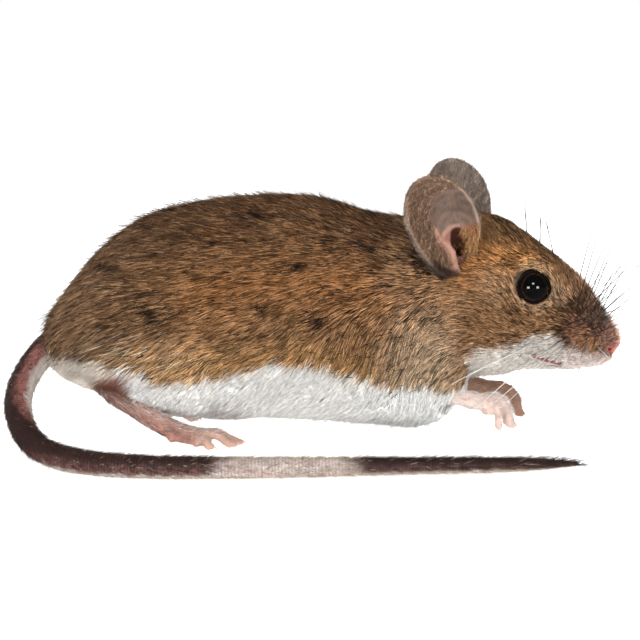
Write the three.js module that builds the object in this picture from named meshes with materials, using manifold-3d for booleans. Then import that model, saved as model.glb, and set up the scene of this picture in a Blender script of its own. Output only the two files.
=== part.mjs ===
// Wood mouse (long-tailed field mouse, Apodemus sylvaticus), an adult at life size, crouching at rest.
// Millimetres, +Z up. The snout points along +X and the animal's left side along +Y. The outer faces are
// the outline of the coat, out to the hair tips, and the soles, the toe tips and the tail lie on z = 0.
// The origin is at the middle of the model's footprint, on the floor.
import * as THREE from "three";
import { mergeVertices } from "three/addons/utils/BufferGeometryUtils.js";
import Module from "manifold-3d";

const wasm = await Module();
wasm.setup();

// ---- Driving dimensions, in millimetres and degrees ----

const GAP = 0.3; // left between neighbouring pieces
const HEAD_YAW = 12.5; // the head turns to the animal's right
const HEAD_PIVOT = [26, -1.9]; // x and y of the pivot that head distances are counted from
const NOSE_REACH = 19.9; // from the pivot to the front of the muzzle
const RUMP_X = -43.2; // hindmost point of the trunk

const EYE = { ahead: 7.0, aside: 4.95, high: 22.3, radius: 2.72 };
const EAR = { length: 18.2, width: 13, thickness: 0.75, baseCurl: 3.6, rimCurl: 10.5 };
const HIND_FOOT = { halfGauge: 11.4, metatarsal: 1.75, toe: 0.72 };
const LEFT_FOOT_BACK = 5.5; // the left hind foot stands this much behind the right one
const FOREFOOT = { palm: 1.55, digit: 0.62 };
const TAIL = { sides: 8, pieces: 5, stepsPerPiece: 6 };
// The tail's radius to its hair tips, at shares of its length.
const TAIL_RADII = [
  { at: 0, radius: 2.35 },
  { at: 0.3, radius: 1.92 },
  { at: 0.8, radius: 1.3 },
  { at: 0.93, radius: 1.05 },
  { at: 1, radius: 0.4 },
];

// Bulges of the coat over the limbs, cheeks, whisker pads and brows, given for the left side.
const THIGH = { centre: [-25.5, 7.2, 16], radii: [10.5, 7.6, 10.6] };
const SHANK = { knee: [-21.5, 10, 9.8], kneeRadius: 3.4, heel: [-32, 10.6, 12], heelRadius: 2.7 };
const SHOULDER = { centre: [14.5, 5.6, 11.5], radii: [7.5, 6.2, 9.5] };
const CHEEK = { ahead: 1.5, aside: 5, high: 16, radii: [5.5, 3.8, 6] };
const WHISKER_PAD = { ahead: 16.6, aside: 2.1, high: 13.2, radii: [3.6, 2.2, 3.1] };
const BROW = { ahead: 7, aside: 3.1, high: 24.2, radii: [4, 3, 2.6] };
// Shapes that mark off the limbs' own pieces within the coat's outline, for the left side too.
const THIGH_CUT = { centre: [-25, 13, 17], radii: [10.5, 8, 10.5] };
const ARM_CUT = { centre: [14, 11.5, 12], radii: [6.6, 6.5, 9.5] };
const SHANK_CUT = { from: [-22, 12.5, 9], to: [-36, 12.5, 12], radii: [4.4, 4.3, 4.1, 3.8] };
const NAPE = { point: [21, 0, 20], ahead: [1, -0.1, 0.26] }; // the plane between neck and head
const WITHERS = { point: [13.5, 0, 20], ahead: [1, 0, 0.26] }; // the plane between trunk and neck
const MOUTH = { corner: [8.9, 11.9], front: [12.6, 9.6], hinge: 3 }; // ahead of the pivot, and high
const NOSE_PAD = { behindTip: 0.4, high: 13.4, radii: [1.4, 1.8, 1.5] };
const EARS = {
  right: { root: [-3.5, -6.6, 23.4], along: [-0.5, -0.33, 1], open: [0.3, -0.9, 0.1] },
  left: { root: [-4.6, 5.6, 24.2], along: [-0.04, 0.3, 1], open: [0.62, 0.75, 0.1] },
};

// Trunk sections along x: top, bottom and half width of the coat.
const TRUNK_SECTIONS = [
  { at: RUMP_X, top: 21.4, bottom: 7.8, half: 9.6 },
  { at: -38.5, top: 24.6, bottom: 7.3, half: 11.2 },
  { at: -33.5, top: 29.0, bottom: 7.0, half: 12.5 },
  { at: -27, top: 33.9, bottom: 5.4, half: 13.4 },
  { at: -18, top: 36.3, bottom: 3.1, half: 13.9 },
  { at: -8, top: 37.1, bottom: 2.2, half: 14.1 },
  { at: 0, top: 36.6, bottom: 1.5, half: 13.6 },
  { at: 8, top: 34.2, bottom: 0.6, half: 12.4 },
  { at: 14, top: 33.2, bottom: 0.5, half: 11.3 },
  { at: 20, top: 31.6, bottom: 2.2, half: 9.6 },
  { at: 25, top: 28.4, bottom: 5.6, half: 7.6 },
];
// Head sections ahead of the pivot, in the turned head's own plane.
const HEAD_SECTIONS = [
  { at: -13, top: 31.5, bottom: 13.0, half: 7.0 },
  { at: -8, top: 33.2, bottom: 10.5, half: 8.4 },
  { at: -3, top: 33.6, bottom: 8.2, half: 9.0 },
  { at: 2, top: 33.0, bottom: 8.0, half: 8.7 },
  { at: 5.3, top: 31.0, bottom: 8.9, half: 7.3 },
  { at: 9.9, top: 27.4, bottom: 8.9, half: 5.7 },
  { at: 14.5, top: 23.2, bottom: 9.1, half: 4.4 },
  { at: 17.5, top: 19.7, bottom: 10.1, half: 3.5 },
  { at: NOSE_REACH, top: 16.3, bottom: 11.0, half: 2.5 },
];

// ---- Small helpers ----

const rad = THREE.MathUtils.degToRad;
const vec = (x, y, z) => new THREE.Vector3(x, y, z);
const headYaw = rad(HEAD_YAW);

// A point of the head's own frame: ahead of the pivot, to the animal's left of the middle plane, and high.
function headPoint(ahead, aside, high) {
  const x = HEAD_PIVOT[0] + ahead * Math.cos(headYaw) + aside * Math.sin(headYaw);
  const y = HEAD_PIVOT[1] - ahead * Math.sin(headYaw) + aside * Math.cos(headYaw);
  return vec(x, y, high);
}

// The smooth curve through a section list's values of one key.
function profile(sections, key) {
  const last = sections.length - 1;
  const slope = (i) => {
    const a = sections[Math.max(i - 1, 0)];
    const b = sections[Math.min(i + 1, last)];
    return (b[key] - a[key]) / (b.at - a.at);
  };
  return (at) => {
    let i = 0;
    while (i < last - 1 && sections[i + 1].at < at) i += 1;
    const span = sections[i + 1].at - sections[i].at;
    const t = THREE.MathUtils.clamp((at - sections[i].at) / span, 0, 1);
    const rise = sections[i + 1][key] - sections[i][key];
    const [m0, m1] = [slope(i) * span, slope(i + 1) * span];
    return sections[i][key] + t * (m0 + t * (3 * rise - 2 * m0 - m1 + t * (m0 + m1 - 2 * rise)));
  };
}

// ---- Distance fields: negative inside, growing roughly by one for each millimetre outwards ----

// A body of oval sections, closed by rounded caps of the given lengths.
function loftField(sections, caps, toLocal) {
  const [top, bottom, half] = ["top", "bottom", "half"].map((key) => profile(sections, key));
  const [start, end] = [sections[0].at, sections[sections.length - 1].at];
  const squareness = 2.2;
  return (p) => {
    const q = toLocal(p);
    const at = THREE.MathUtils.clamp(q.x, start, end);
    const intoCap = Math.max((start + caps[0] - q.x) / caps[0], (q.x - end + caps[1]) / caps[1], 0);
    const middle = (top(at) + bottom(at)) / 2;
    const across = Math.abs(q.y) / half(at);
    const up = Math.abs(q.z - middle) / ((top(at) - bottom(at)) / 2);
    const ring = Math.pow(across ** squareness + up ** squareness, 1 / squareness);
    const k = Math.hypot(ring, intoCap);
    const run = Math.hypot(q.y, q.z - middle, intoCap * (q.x < 0 ? caps[0] : caps[1]));
    return run * (1 - 1 / Math.max(k, 0.05));
  };
}

function ellipsoidField(centre, radii) {
  return (p) => {
    const x = (p.x - centre.x) / radii[0];
    const y = (p.y - centre.y) / radii[1];
    const z = (p.z - centre.z) / radii[2];
    const k = Math.hypot(x, y, z);
    return (k * (k - 1)) / Math.max(Math.hypot(x / radii[0], y / radii[1], z / radii[2]), 1e-6);
  };
}

// A limb: a rod whose radius runs evenly from one end's to the other's.
function limbField(from, fromRadius, to, toRadius) {
  const span = to.clone().sub(from);
  return (p) => {
    const t = THREE.MathUtils.clamp(p.clone().sub(from).dot(span) / span.lengthSq(), 0, 1);
    const foot = from.clone().addScaledVector(span, t);
    return p.distanceTo(foot) - THREE.MathUtils.lerp(fromRadius, toRadius, t);
  };
}

// Fields joined with a soft crease about as wide as the given width.
function blend(width, fields) {
  return (p) =>
    fields.reduce((low, field) => {
      const d = field(p);
      const h = Math.max(width - Math.abs(low - d), 0) / width;
      return Math.min(low, d) - (h * h * width) / 4;
    }, Infinity);
}

// ---- Geometry: each starts as a three.js geometry and has its vertices moved ----

function moveVertices(geometry, move) {
  const position = geometry.getAttribute("position");
  for (let i = 0; i < position.count; i += 1) {
    const p = move(vec(position.getX(i), position.getY(i), position.getZ(i)));
    position.setXYZ(i, p.x, p.y, p.z);
  }
  return geometry;
}

// A sphere drawn out along a spine and let down onto a field, or onto its outline grown by a margin.
function wrapped(spine, field, { around, along, reach, grow = 0 }) {
  const capShare = 0.16;
  const step = 0.5;
  const side = vec(0, 1, 0);
  return moveVertices(new THREE.SphereGeometry(1, around, along), (v) => {
    const share = Math.acos(THREE.MathUtils.clamp(v.y, -1, 1)) / Math.PI;
    const t = THREE.MathUtils.clamp((share - capShare) / (1 - 2 * capShare), 0, 1);
    const lean = (Math.max(capShare - share, 0) - Math.max(share - 1 + capShare, 0)) / capShare;
    const origin = spine.getPoint(t);
    const ahead = spine.getTangent(t);
    const up = ahead.clone().cross(side).normalize();
    const turn = Math.atan2(v.z, v.x);
    const out = side.clone().multiplyScalar(Math.cos(turn)).addScaledVector(up, Math.sin(turn));
    const angle = (lean * Math.PI) / 2;
    const ray = out.multiplyScalar(Math.cos(angle)).addScaledVector(ahead, -Math.sin(angle));
    const level = (r) => field(origin.clone().addScaledVector(ray, r)) - grow;
    let high = step;
    while (high < reach && level(high) < 0) high += step;
    let low = high - step;
    for (let i = 0; i < 12; i += 1) {
      const middle = (low + high) / 2;
      if (level(middle) < 0) low = middle;
      else high = middle;
    }
    return origin.addScaledVector(ray, low);
  });
}

// A lathe-turned rod bent along a curve. Each radius stands at its share of the length.
function bentRod(curve, radii, sides) {
  const steps = radii.length - 1;
  const outline = [new THREE.Vector2(0, 0)];
  radii.forEach((radius, i) => outline.push(new THREE.Vector2(radius, i / steps)));
  outline.push(new THREE.Vector2(0, 1));
  const frames = curve.computeFrenetFrames(steps, false);
  return moveVertices(new THREE.LatheGeometry(outline, sides), (v) => {
    const i = Math.round(v.y * steps);
    const p = curve.getPointAt(i / steps);
    return p.addScaledVector(frames.normals[i], v.x).addScaledVector(frames.binormals[i], v.z);
  });
}

function ball(centre, radii, grow = 0, around = 14, along = 10) {
  const shape = new THREE.SphereGeometry(1, around, along);
  shape.scale(radii[0] + grow, radii[1] + grow, radii[2] + grow);
  return shape.translate(centre.x, centre.y, centre.z);
}

// ---- Solids ----

function solid(geometry) {
  geometry.deleteAttribute("normal");
  geometry.deleteAttribute("uv");
  const merged = mergeVertices(geometry, 1e-4);
  const index = merged.index.array;
  const triangles = [];
  for (let i = 0; i < index.length; i += 3) {
    const [a, b, c] = [index[i], index[i + 1], index[i + 2]];
    if (a !== b && b !== c && c !== a) triangles.push(a, b, c);
  }
  const vertProperties = merged.getAttribute("position").array;
  const triVerts = new Uint32Array(triangles);
  const made = new wasm.Manifold(new wasm.Mesh({ numProp: 3, vertProperties, triVerts }));
  if (made.volume() > 0) return made;
  triVerts.reverse(); // turns every face round
  return new wasm.Manifold(new wasm.Mesh({ numProp: 3, vertProperties, triVerts }));
}

const joined = (geometries) => geometries.map(solid).reduce((a, b) => a.add(b));

// A great block with one face through a point, square to a direction that leads out of it.
const BLOCK = 120;
function blockBehind(point, direction, back = 0) {
  const unit = direction.clone().normalize();
  const centre = point.clone().addScaledVector(unit, -BLOCK / 2 - back);
  const shape = new THREE.BoxGeometry(BLOCK, BLOCK, BLOCK);
  shape.applyQuaternion(new THREE.Quaternion().setFromUnitVectors(vec(1, 0, 0), unit));
  return solid(shape.translate(centre.x, centre.y, centre.z));
}

const underFloor = blockBehind(vec(0, 0, 0), vec(0, 0, 1));

// ---- Materials ----

const finish = (color, roughness) => new THREE.MeshStandardMaterial({ color, roughness, metalness: 0 });
const COAT = finish(0x7a5b3c, 0.9);
const PALE_COAT = finish(0xd8d2c8, 0.9);
const EAR_SKIN = finish(0x6e5750, 0.7);
const PINK_SKIN = finish(0xc99a8c, 0.6);
const TAIL_SKIN = finish(0x54403c, 0.7);
const EYE_GLOSS = finish(0x0a0807, 0.1);

const mouse = new THREE.Group();

function addPiece(name, shape, material) {
  const made = shape.subtract(underFloor);
  const largest = made.decompose().reduce((a, b) => (a.volume() > b.volume() ? a : b));
  const mesh = largest.getMesh();
  const geometry = new THREE.BufferGeometry();
  geometry.setAttribute("position", new THREE.BufferAttribute(mesh.vertProperties, 3));
  geometry.setIndex(new THREE.BufferAttribute(mesh.triVerts, 1));
  geometry.computeVertexNormals();
  const piece = new THREE.Mesh(geometry, material);
  piece.name = name;
  mouse.add(piece);
}

// ---- The coat's outline: trunk, neck and head, with the bulges of the limbs and cheeks ----

const SIDES = [
  { name: "right", sign: -1 },
  { name: "left", sign: 1 },
];
// The left leg's forms stand back by this share of the left foot's shift.
const backOf = (sign, share) => (sign > 0 ? -LEFT_FOOT_BACK * share : 0);

const trunkLocal = (p) => p;
const headLocal = (p) => {
  const [x, y] = [p.x - HEAD_PIVOT[0], p.y - HEAD_PIVOT[1]];
  const ahead = x * Math.cos(headYaw) - y * Math.sin(headYaw);
  return vec(ahead, x * Math.sin(headYaw) + y * Math.cos(headYaw), p.z);
};
const onSide = ([x, y, z], sign, back = 0) => vec(x + backOf(sign, back), y * sign, z);

const bulges = SIDES.flatMap(({ sign }) => [
  ellipsoidField(onSide(THIGH.centre, sign, 0.3), THIGH.radii),
  limbField(onSide(SHANK.knee, sign, 0.5), SHANK.kneeRadius, onSide(SHANK.heel, sign, 1), SHANK.heelRadius),
  ellipsoidField(onSide(SHOULDER.centre, sign), SHOULDER.radii),
  ...[CHEEK, WHISKER_PAD, BROW].map((form) =>
    ellipsoidField(headPoint(form.ahead, form.aside * sign, form.high), form.radii),
  ),
]);
const coatField = blend(2.6, [
  loftField(TRUNK_SECTIONS, [11, 8], trunkLocal),
  loftField(HEAD_SECTIONS, [8, 5], headLocal),
  ...bulges,
]);

const trunkSpine = new THREE.CatmullRomCurve3([
  vec(-34, 0, 16),
  vec(-18, 0, 19),
  vec(2, 0, 18.5),
  vec(24, -1.2, 18),
]);
const headSpine = new THREE.CatmullRomCurve3([
  vec(13, 0.2, 20),
  headPoint(-2, 0, 20),
  headPoint(17, 0, 14),
]);
const trunkWrap = (grow) =>
  solid(wrapped(trunkSpine, coatField, { around: 28, along: 24, reach: 24, grow }));
const headWrap = (grow) =>
  solid(wrapped(headSpine, coatField, { around: 22, along: 22, reach: 18, grow }));

const grownTrunk = trunkWrap(GAP);
const grownHead = headWrap(GAP);
const behindPlane = ({ point, ahead }, back) => blockBehind(vec(...point), vec(...ahead), back);
const body = trunkWrap(0).intersect(behindPlane(NAPE, GAP));
const head = headWrap(0).subtract(behindPlane(NAPE, 0));

// ---- Hindquarters, shoulders, trunk and neck ----

const thighCutter = (sign, grow) =>
  solid(ball(onSide(THIGH_CUT.centre, sign, 0.3), THIGH_CUT.radii, grow, 14, 8));
const armCutter = (sign, grow) => solid(ball(onSide(ARM_CUT.centre, sign), ARM_CUT.radii, grow, 12, 8));
const shankCutter = (sign, grow) => {
  const line = new THREE.LineCurve3(onSide(SHANK_CUT.from, sign, 0.6), onSide(SHANK_CUT.to, sign, 0.9));
  return solid(bentRod(line, SHANK_CUT.radii.map((r) => r + grow), 10));
};

let torso = body;
for (const { name, sign } of SIDES) {
  addPiece(`${name}_shank`, body.intersect(shankCutter(sign, 0)), COAT);
  addPiece(`${name}_thigh`, body.intersect(thighCutter(sign, 0)).subtract(shankCutter(sign, GAP)), COAT);
  addPiece(`${name}_upper_arm`, body.intersect(armCutter(sign, 0)), COAT);
  for (const cutter of [thighCutter, shankCutter, armCutter]) torso = torso.subtract(cutter(sign, GAP));
}
addPiece("trunk", torso.intersect(behindPlane(WITHERS, GAP)), COAT);
addPiece("neck", torso.subtract(behindPlane(WITHERS, 0)), COAT);

// ---- Head, lower jaw, nose and eyes ----

const eyeBall = (sign, grow) => {
  const centre = headPoint(EYE.ahead, EYE.aside * sign, EYE.high);
  return solid(ball(centre, [EYE.radius, EYE.radius, EYE.radius], grow, 12, 9));
};
const jawBlock = (grow) => {
  const corner = headPoint(MOUTH.corner[0], 0, MOUTH.corner[1] + grow);
  const front = headPoint(MOUTH.front[0], 0, MOUTH.front[1] + grow);
  const below = blockBehind(corner, vec(corner.z - front.z, 0, front.x - corner.x));
  const backwards = headPoint(-1, 0, 0).sub(headPoint(0, 0, 0));
  return below.intersect(blockBehind(headPoint(MOUTH.hinge - grow, 0, 0), backwards));
};
const noseTip = headPoint(NOSE_REACH - NOSE_PAD.behindTip, 0, NOSE_PAD.high);
const skull = SIDES.reduce((rest, { sign }) => rest.subtract(eyeBall(sign, GAP / 2)), head);
addPiece("head", skull.subtract(jawBlock(GAP)), COAT);
addPiece("lower_jaw", skull.intersect(jawBlock(0)), PALE_COAT);
addPiece("nose", solid(ball(noseTip, NOSE_PAD.radii, 0, 10, 7)).subtract(grownHead), PINK_SKIN);
for (const { name, sign } of SIDES) addPiece(`${name}_eye`, eyeBall(sign, 0), EYE_GLOSS);

// ---- Ears: thin cups, curled tightly at the root and opening towards the rim ----

function earCup({ root, along, open }) {
  const base = headPoint(...root);
  const axis = vec(...along).normalize();
  const mouth = vec(...open);
  mouth.addScaledVector(axis, -mouth.dot(axis)).normalize();
  const across = axis.clone().cross(mouth);
  return moveVertices(new THREE.SphereGeometry(1, 16, 13), (v) => {
    const share = (v.y + 1) / 2;
    const breadth = 1.06 * (1 - Math.exp(-5.5 * share));
    const curl = THREE.MathUtils.lerp(EAR.baseCurl, EAR.rimCurl, share);
    const offAxis = (v.x * breadth * EAR.width) / 2;
    const turn = offAxis / curl;
    const depth = curl * (1 - Math.cos(turn)) + (v.z * EAR.thickness) / 2;
    const p = base.clone().addScaledVector(axis, share * EAR.length);
    return p.addScaledVector(across, curl * Math.sin(turn)).addScaledVector(mouth, depth);
  });
}

for (const { name } of SIDES) {
  addPiece(`${name}_ear`, solid(earCup(EARS[name])).subtract(grownHead), EAR_SKIN);
}

// ---- Hind feet: a long raised metatarsus and five toes whose tips stand on the floor ----

// Each toe from its root to its claw: ahead of the hip line, outwards from the gauge line, and high.
const HIND_TOES = [
  { root: [-21.8, -1.5, 2.2], tip: [-18.6, -2.7, 0.35] },
  { root: [-19.9, -1.1, 2.1], tip: [-13.3, -2.2, 0.4] },
  { root: [-19.6, -0.3, 2.2], tip: [-12.7, -0.4, 0.4] },
  { root: [-19.8, 0.7, 2.1], tip: [-13.7, 1.3, 0.3] },
  { root: [-20.6, 1.4, 1.9], tip: [-17.4, 2.5, 0.3] },
];

function digit(root, tip, thickness) {
  const knuckle = root.clone().lerp(tip, 0.5).setZ(root.z * 0.75 + tip.z * 0.25 + thickness * 0.4);
  const pad = root.clone().lerp(tip, 0.78).setZ(tip.z + thickness * 0.6);
  const curve = new THREE.CatmullRomCurve3([root, knuckle, pad, tip]);
  const radii = [1.2, 0.95, 0.95, 1.05, 0.4].map((r) => r * thickness);
  return bentRod(curve, radii, 6);
}

for (const { name, sign } of SIDES) {
  const place = ([x, out, z]) => vec(x + backOf(sign, 1), sign * (HIND_FOOT.halfGauge + out), z);
  const sole = new THREE.CatmullRomCurve3([
    place([-31.2, -0.5, 12.2]),
    place([-32.6, -0.4, 9.6]),
    place([-29.4, -0.2, 7.0]),
    place([-25.8, 0, 4.3]),
    place([-22.4, 0.2, 2.5]),
    place([-19.4, 0.3, 1.7]),
  ]);
  const shaft = [1.7, 2.05, 2.15, 2.0, 1.85, 1.7, 1.45].map((r) => (r * HIND_FOOT.metatarsal) / 1.75);
  const toes = HIND_TOES.map(({ root, tip }) => digit(place(root), place(tip), HIND_FOOT.toe));
  const pad = ball(place([-20.4, 0.2, 1.7]), [2.1, 2.2, 1.5], 0, 10, 6);
  const foot = joined([bentRod(sole, shaft, 8), pad, ...toes]);
  addPiece(`${name}_hind_foot`, foot.subtract(grownTrunk), PINK_SKIN);
}

// ---- Forelegs: the forearm comes out of the chest, and the digits hang to the floor ----

const FORELEGS = {
  right: { elbow: vec(17, -7, 7), wrist: vec(22.8, -6, 4.7), knuckle: vec(27.2, -6, 4.3) },
  left: { elbow: vec(19.5, 6, 7.4), wrist: vec(26, 4.6, 5.1), knuckle: vec(30.8, 4.6, 4.1) },
};
// Digit roots and tips ahead of, outwards from and above the knuckle line's middle.
const FORE_DIGITS = [
  { root: [-2.9, -1, -0.4], tip: [-1.5, -1.9, -1.9] },
  { root: [-0.2, -1.1, 0], tip: [2.2, -1.9, -4.2] },
  { root: [0.2, -0.4, 0.1], tip: [2.8, -0.6, -4.2] },
  { root: [0, 0.5, 0.1], tip: [2, 0.8, -4.2] },
  { root: [-0.9, 1.2, -0.1], tip: [-0.4, 2, -4.2] },
];

for (const { name, sign } of SIDES) {
  const { elbow, wrist, knuckle } = FORELEGS[name];
  const forearmRadii = [2.7, 2.4, 2, 1.7, 1.5];
  const reach = wrist.clone().sub(elbow).normalize();
  const forearm = solid(bentRod(new THREE.LineCurve3(elbow, wrist), forearmRadii, 10));
  const armEnd = blockBehind(wrist, reach, GAP);
  addPiece(`${name}_forearm`, forearm.intersect(armEnd).subtract(grownTrunk), COAT);
  const from = ([x, out, z]) => vec(knuckle.x + x, knuckle.y + out * sign, Math.max(knuckle.z + z, 0.3));
  const digits = FORE_DIGITS.map(({ root, tip }) => digit(from(root), from(tip), FOREFOOT.digit));
  const palmCurve = new THREE.LineCurve3(wrist.clone().addScaledVector(reach, -1), knuckle);
  const palm = bentRod(palmCurve, [1.35, 1.4, 1.65, 1.75, 1.35].map((r) => (r * FOREFOOT.palm) / 1.55), 8);
  const paw = joined([palm, ...digits]).subtract(blockBehind(wrist, reach));
  addPiece(`${name}_forefoot`, paw.subtract(grownTrunk), PINK_SKIN);
}

// ---- Tail: leaves the rump, sweeps down to the animal's right and lies forward along the floor ----

const tailRadius = profile(TAIL_RADII, "radius");
const lying = (x, y, share) => vec(x, y, tailRadius(share) * 0.9);
const tailRoute = new THREE.CatmullRomCurve3([
  vec(-39.5, 1.2, 15.6),
  vec(-42, -0.6, 14.4),
  vec(-44.5, -3, 11.7),
  vec(-46.1, -8, 8.2),
  vec(-45.4, -13.4, 5.1),
  vec(-42.9, -19.1, 2.8),
  lying(-38, -24.8, 0.2),
  lying(-29.5, -30.2, 0.3),
  lying(-13.4, -33.4, 0.43),
  lying(5, -35.1, 0.58),
  lying(20, -35.9, 0.8),
  lying(31.5, -33.8, 1),
]);

const tailSteps = TAIL.stepsPerPiece;
const frames = tailRoute.computeFrenetFrames(tailSteps * TAIL.pieces, false);
const outline = [new THREE.Vector2(0, 0)];
for (let i = 0; i <= tailSteps; i += 1) outline.push(new THREE.Vector2(1, i / tailSteps));
outline.push(new THREE.Vector2(0, 1));
for (let k = 0; k < TAIL.pieces; k += 1) {
  const trim = k > 0 ? GAP / tailRoute.getLength() : 0;
  const tube = moveVertices(new THREE.LatheGeometry(outline, TAIL.sides), (v) => {
    const i = Math.round(v.y * tailSteps);
    const share = (k + v.y) / TAIL.pieces + (i === 0 ? trim : 0);
    const frame = k * tailSteps + i;
    const r = tailRadius(share);
    const p = tailRoute.getPointAt(share).addScaledVector(frames.normals[frame], v.x * r);
    return p.addScaledVector(frames.binormals[frame], v.z * r);
  });
  addPiece(`tail_${k + 1}`, k === 0 ? solid(tube).subtract(grownTrunk) : solid(tube), TAIL_SKIN);
}

// ---- The origin moves to the middle of the footprint ----

const box = new THREE.Box3().setFromObject(mouse);
const middle = box.getCenter(vec(0, 0, 0));
mouse.position.set(-middle.x, -middle.y, -box.min.z);
const fieldMouse = new THREE.Group();
fieldMouse.add(mouse);

export default fieldMouse;
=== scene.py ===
"""Wood mouse (long-tailed field mouse) at life size: a skin, a coat of mesh tufts, eyes, claws, whiskers.

All sizes are millimetres in the model's own drawing frame: +X to the nose, +Y to the animal's left and z = 0
on the floor. to_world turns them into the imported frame's metres. A field is a distance: below zero inside.
"""
import math

import bpy
import numpy as np
from mathutils import Matrix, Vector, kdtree


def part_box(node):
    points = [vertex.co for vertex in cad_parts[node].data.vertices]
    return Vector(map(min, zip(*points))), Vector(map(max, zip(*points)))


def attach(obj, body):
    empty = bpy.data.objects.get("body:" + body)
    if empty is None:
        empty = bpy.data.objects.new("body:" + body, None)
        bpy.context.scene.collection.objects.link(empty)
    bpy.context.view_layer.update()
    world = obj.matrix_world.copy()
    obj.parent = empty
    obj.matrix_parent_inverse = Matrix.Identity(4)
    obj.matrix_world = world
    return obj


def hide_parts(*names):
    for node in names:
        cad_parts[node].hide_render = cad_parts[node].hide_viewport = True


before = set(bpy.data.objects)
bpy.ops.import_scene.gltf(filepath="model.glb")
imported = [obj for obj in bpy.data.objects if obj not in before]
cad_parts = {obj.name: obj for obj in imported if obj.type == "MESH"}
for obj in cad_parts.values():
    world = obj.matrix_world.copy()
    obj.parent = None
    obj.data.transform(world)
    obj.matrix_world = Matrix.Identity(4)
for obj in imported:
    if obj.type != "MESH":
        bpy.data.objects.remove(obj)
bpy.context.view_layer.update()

rng = np.random.default_rng(11)

# ---- Sizes shared with the solids ----

HEAD_YAW = math.radians(12.5)
HEAD_PIVOT = (26.0, -1.9)
EYE = {"centre": (7.0, 4.95, 22.3), "radius": 2.72}
EAR = {"length": 18.2, "width": 13.0, "base_curl": 3.6, "rim_curl": 10.5}
EARS = {
    -1: {"root": (-3.5, -6.6, 23.4), "along": (-0.5, -0.33, 1.0), "open": (0.3, -0.9, 0.1)},
    1: {"root": (-4.6, 5.6, 24.2), "along": (-0.04, 0.3, 1.0), "open": (0.62, 0.75, 0.1)},
}
# The left hind foot stands this much behind the right one.
LEFT_FOOT_BACK = 5.5
FOOT_HALF_GAUGE = 11.4
SIDES = {-1: "right", 1: "left"}

# Trunk sections along x, and head sections ahead of the pivot: place, top, bottom and half width of the coat.
TRUNK = np.array([
    (-43.2, 21.4, 7.8, 9.6),
    (-38.5, 24.6, 7.3, 11.2),
    (-33.5, 29.0, 7.0, 12.5),
    (-27.0, 33.9, 5.4, 13.4),
    (-18.0, 36.3, 3.1, 13.9),
    (-8.0, 37.1, 2.2, 14.1),
    (0.0, 36.6, 1.5, 13.6),
    (8.0, 34.2, 0.6, 12.4),
    (14.0, 33.2, 0.5, 11.3),
    (20.0, 31.6, 2.2, 9.6),
    (25.0, 28.4, 5.6, 7.6),
])
HEAD = np.array([
    (-13.0, 31.5, 13.0, 7.0),
    (-8.0, 33.2, 10.5, 8.4),
    (-3.0, 33.6, 8.2, 9.0),
    (2.0, 33.0, 8.0, 8.7),
    (5.3, 31.0, 8.9, 7.3),
    (9.9, 27.4, 8.9, 5.7),
    (14.5, 23.2, 9.1, 4.4),
    (17.5, 19.7, 10.1, 3.5),
    (19.9, 16.3, 11.0, 2.5),
])
TRUNK_CAPS = (11.0, 8.0)
HEAD_CAPS = (8.0, 5.0)
SECTION_SQUARENESS = 2.2
COAT_BLEND = 2.6
LIMB_BLEND = 5.5

# ---- Places ----


def vec(*xyz):
    return np.array(xyz, float)


def unit(v):
    v = np.asarray(v, float)
    return v / np.maximum(np.linalg.norm(v, axis=-1, keepdims=True), 1e-9)


def head_point(ahead, aside, high):
    """A point of the head's own frame: ahead of the pivot, left of the middle plane, and high."""
    c, s = math.cos(HEAD_YAW), math.sin(HEAD_YAW)
    return vec(HEAD_PIVOT[0] + ahead * c + aside * s, HEAD_PIVOT[1] - ahead * s + aside * c, high)


def head_local(p):
    """Ahead, aside and high of drawing points in the head's own frame."""
    c, s = math.cos(HEAD_YAW), math.sin(HEAD_YAW)
    x, y = p[:, 0] - HEAD_PIVOT[0], p[:, 1] - HEAD_PIVOT[1]
    return np.stack([x * c - y * s, x * s + y * c, p[:, 2]], 1)


def head_direction(ahead, aside, high):
    return unit(head_point(ahead, aside, high) - head_point(0, 0, 0))


def head_place(xyz, sign):
    """A point of the head's own frame that is given for the left side, on either side."""
    return head_point(xyz[0], xyz[1] * sign, xyz[2])


def mirrored(xyz, sign):
    """The same, left in the head's own frame."""
    return (xyz[0], xyz[1] * sign, xyz[2])


def each_side(make):
    """What a function makes for each side, kept by its sign."""
    return {sign: make(sign) for sign in SIDES}


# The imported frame's origin is the middle of the footprint, so one known point gives the shift.
MM_PER_METRE = 1000
low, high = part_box("right_eye")
SHIFT = (np.array(low) + np.array(high)) * (MM_PER_METRE / 2) - head_place(EYE["centre"], -1)


def to_world(p):
    return (np.asarray(p, float) + SHIFT) / MM_PER_METRE


# ---- Fields ----


def smoothstep(x, start, end):
    """0 before the start, 1 past the end, and smooth between them. They may also run downwards."""
    t = np.clip((x - start) / (end - start), 0, 1)
    return t * t * (3 - 2 * t)


def join(a, b, width):
    """Two fields as one, with the crease between them rounded over a width."""
    h = np.maximum(width - np.abs(a - b), 0) / width
    return np.minimum(a, b) - h * h * width / 4


def carve(a, b, width):
    """Field a with field b cut out of it."""
    return -join(-a, b, width)


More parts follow.
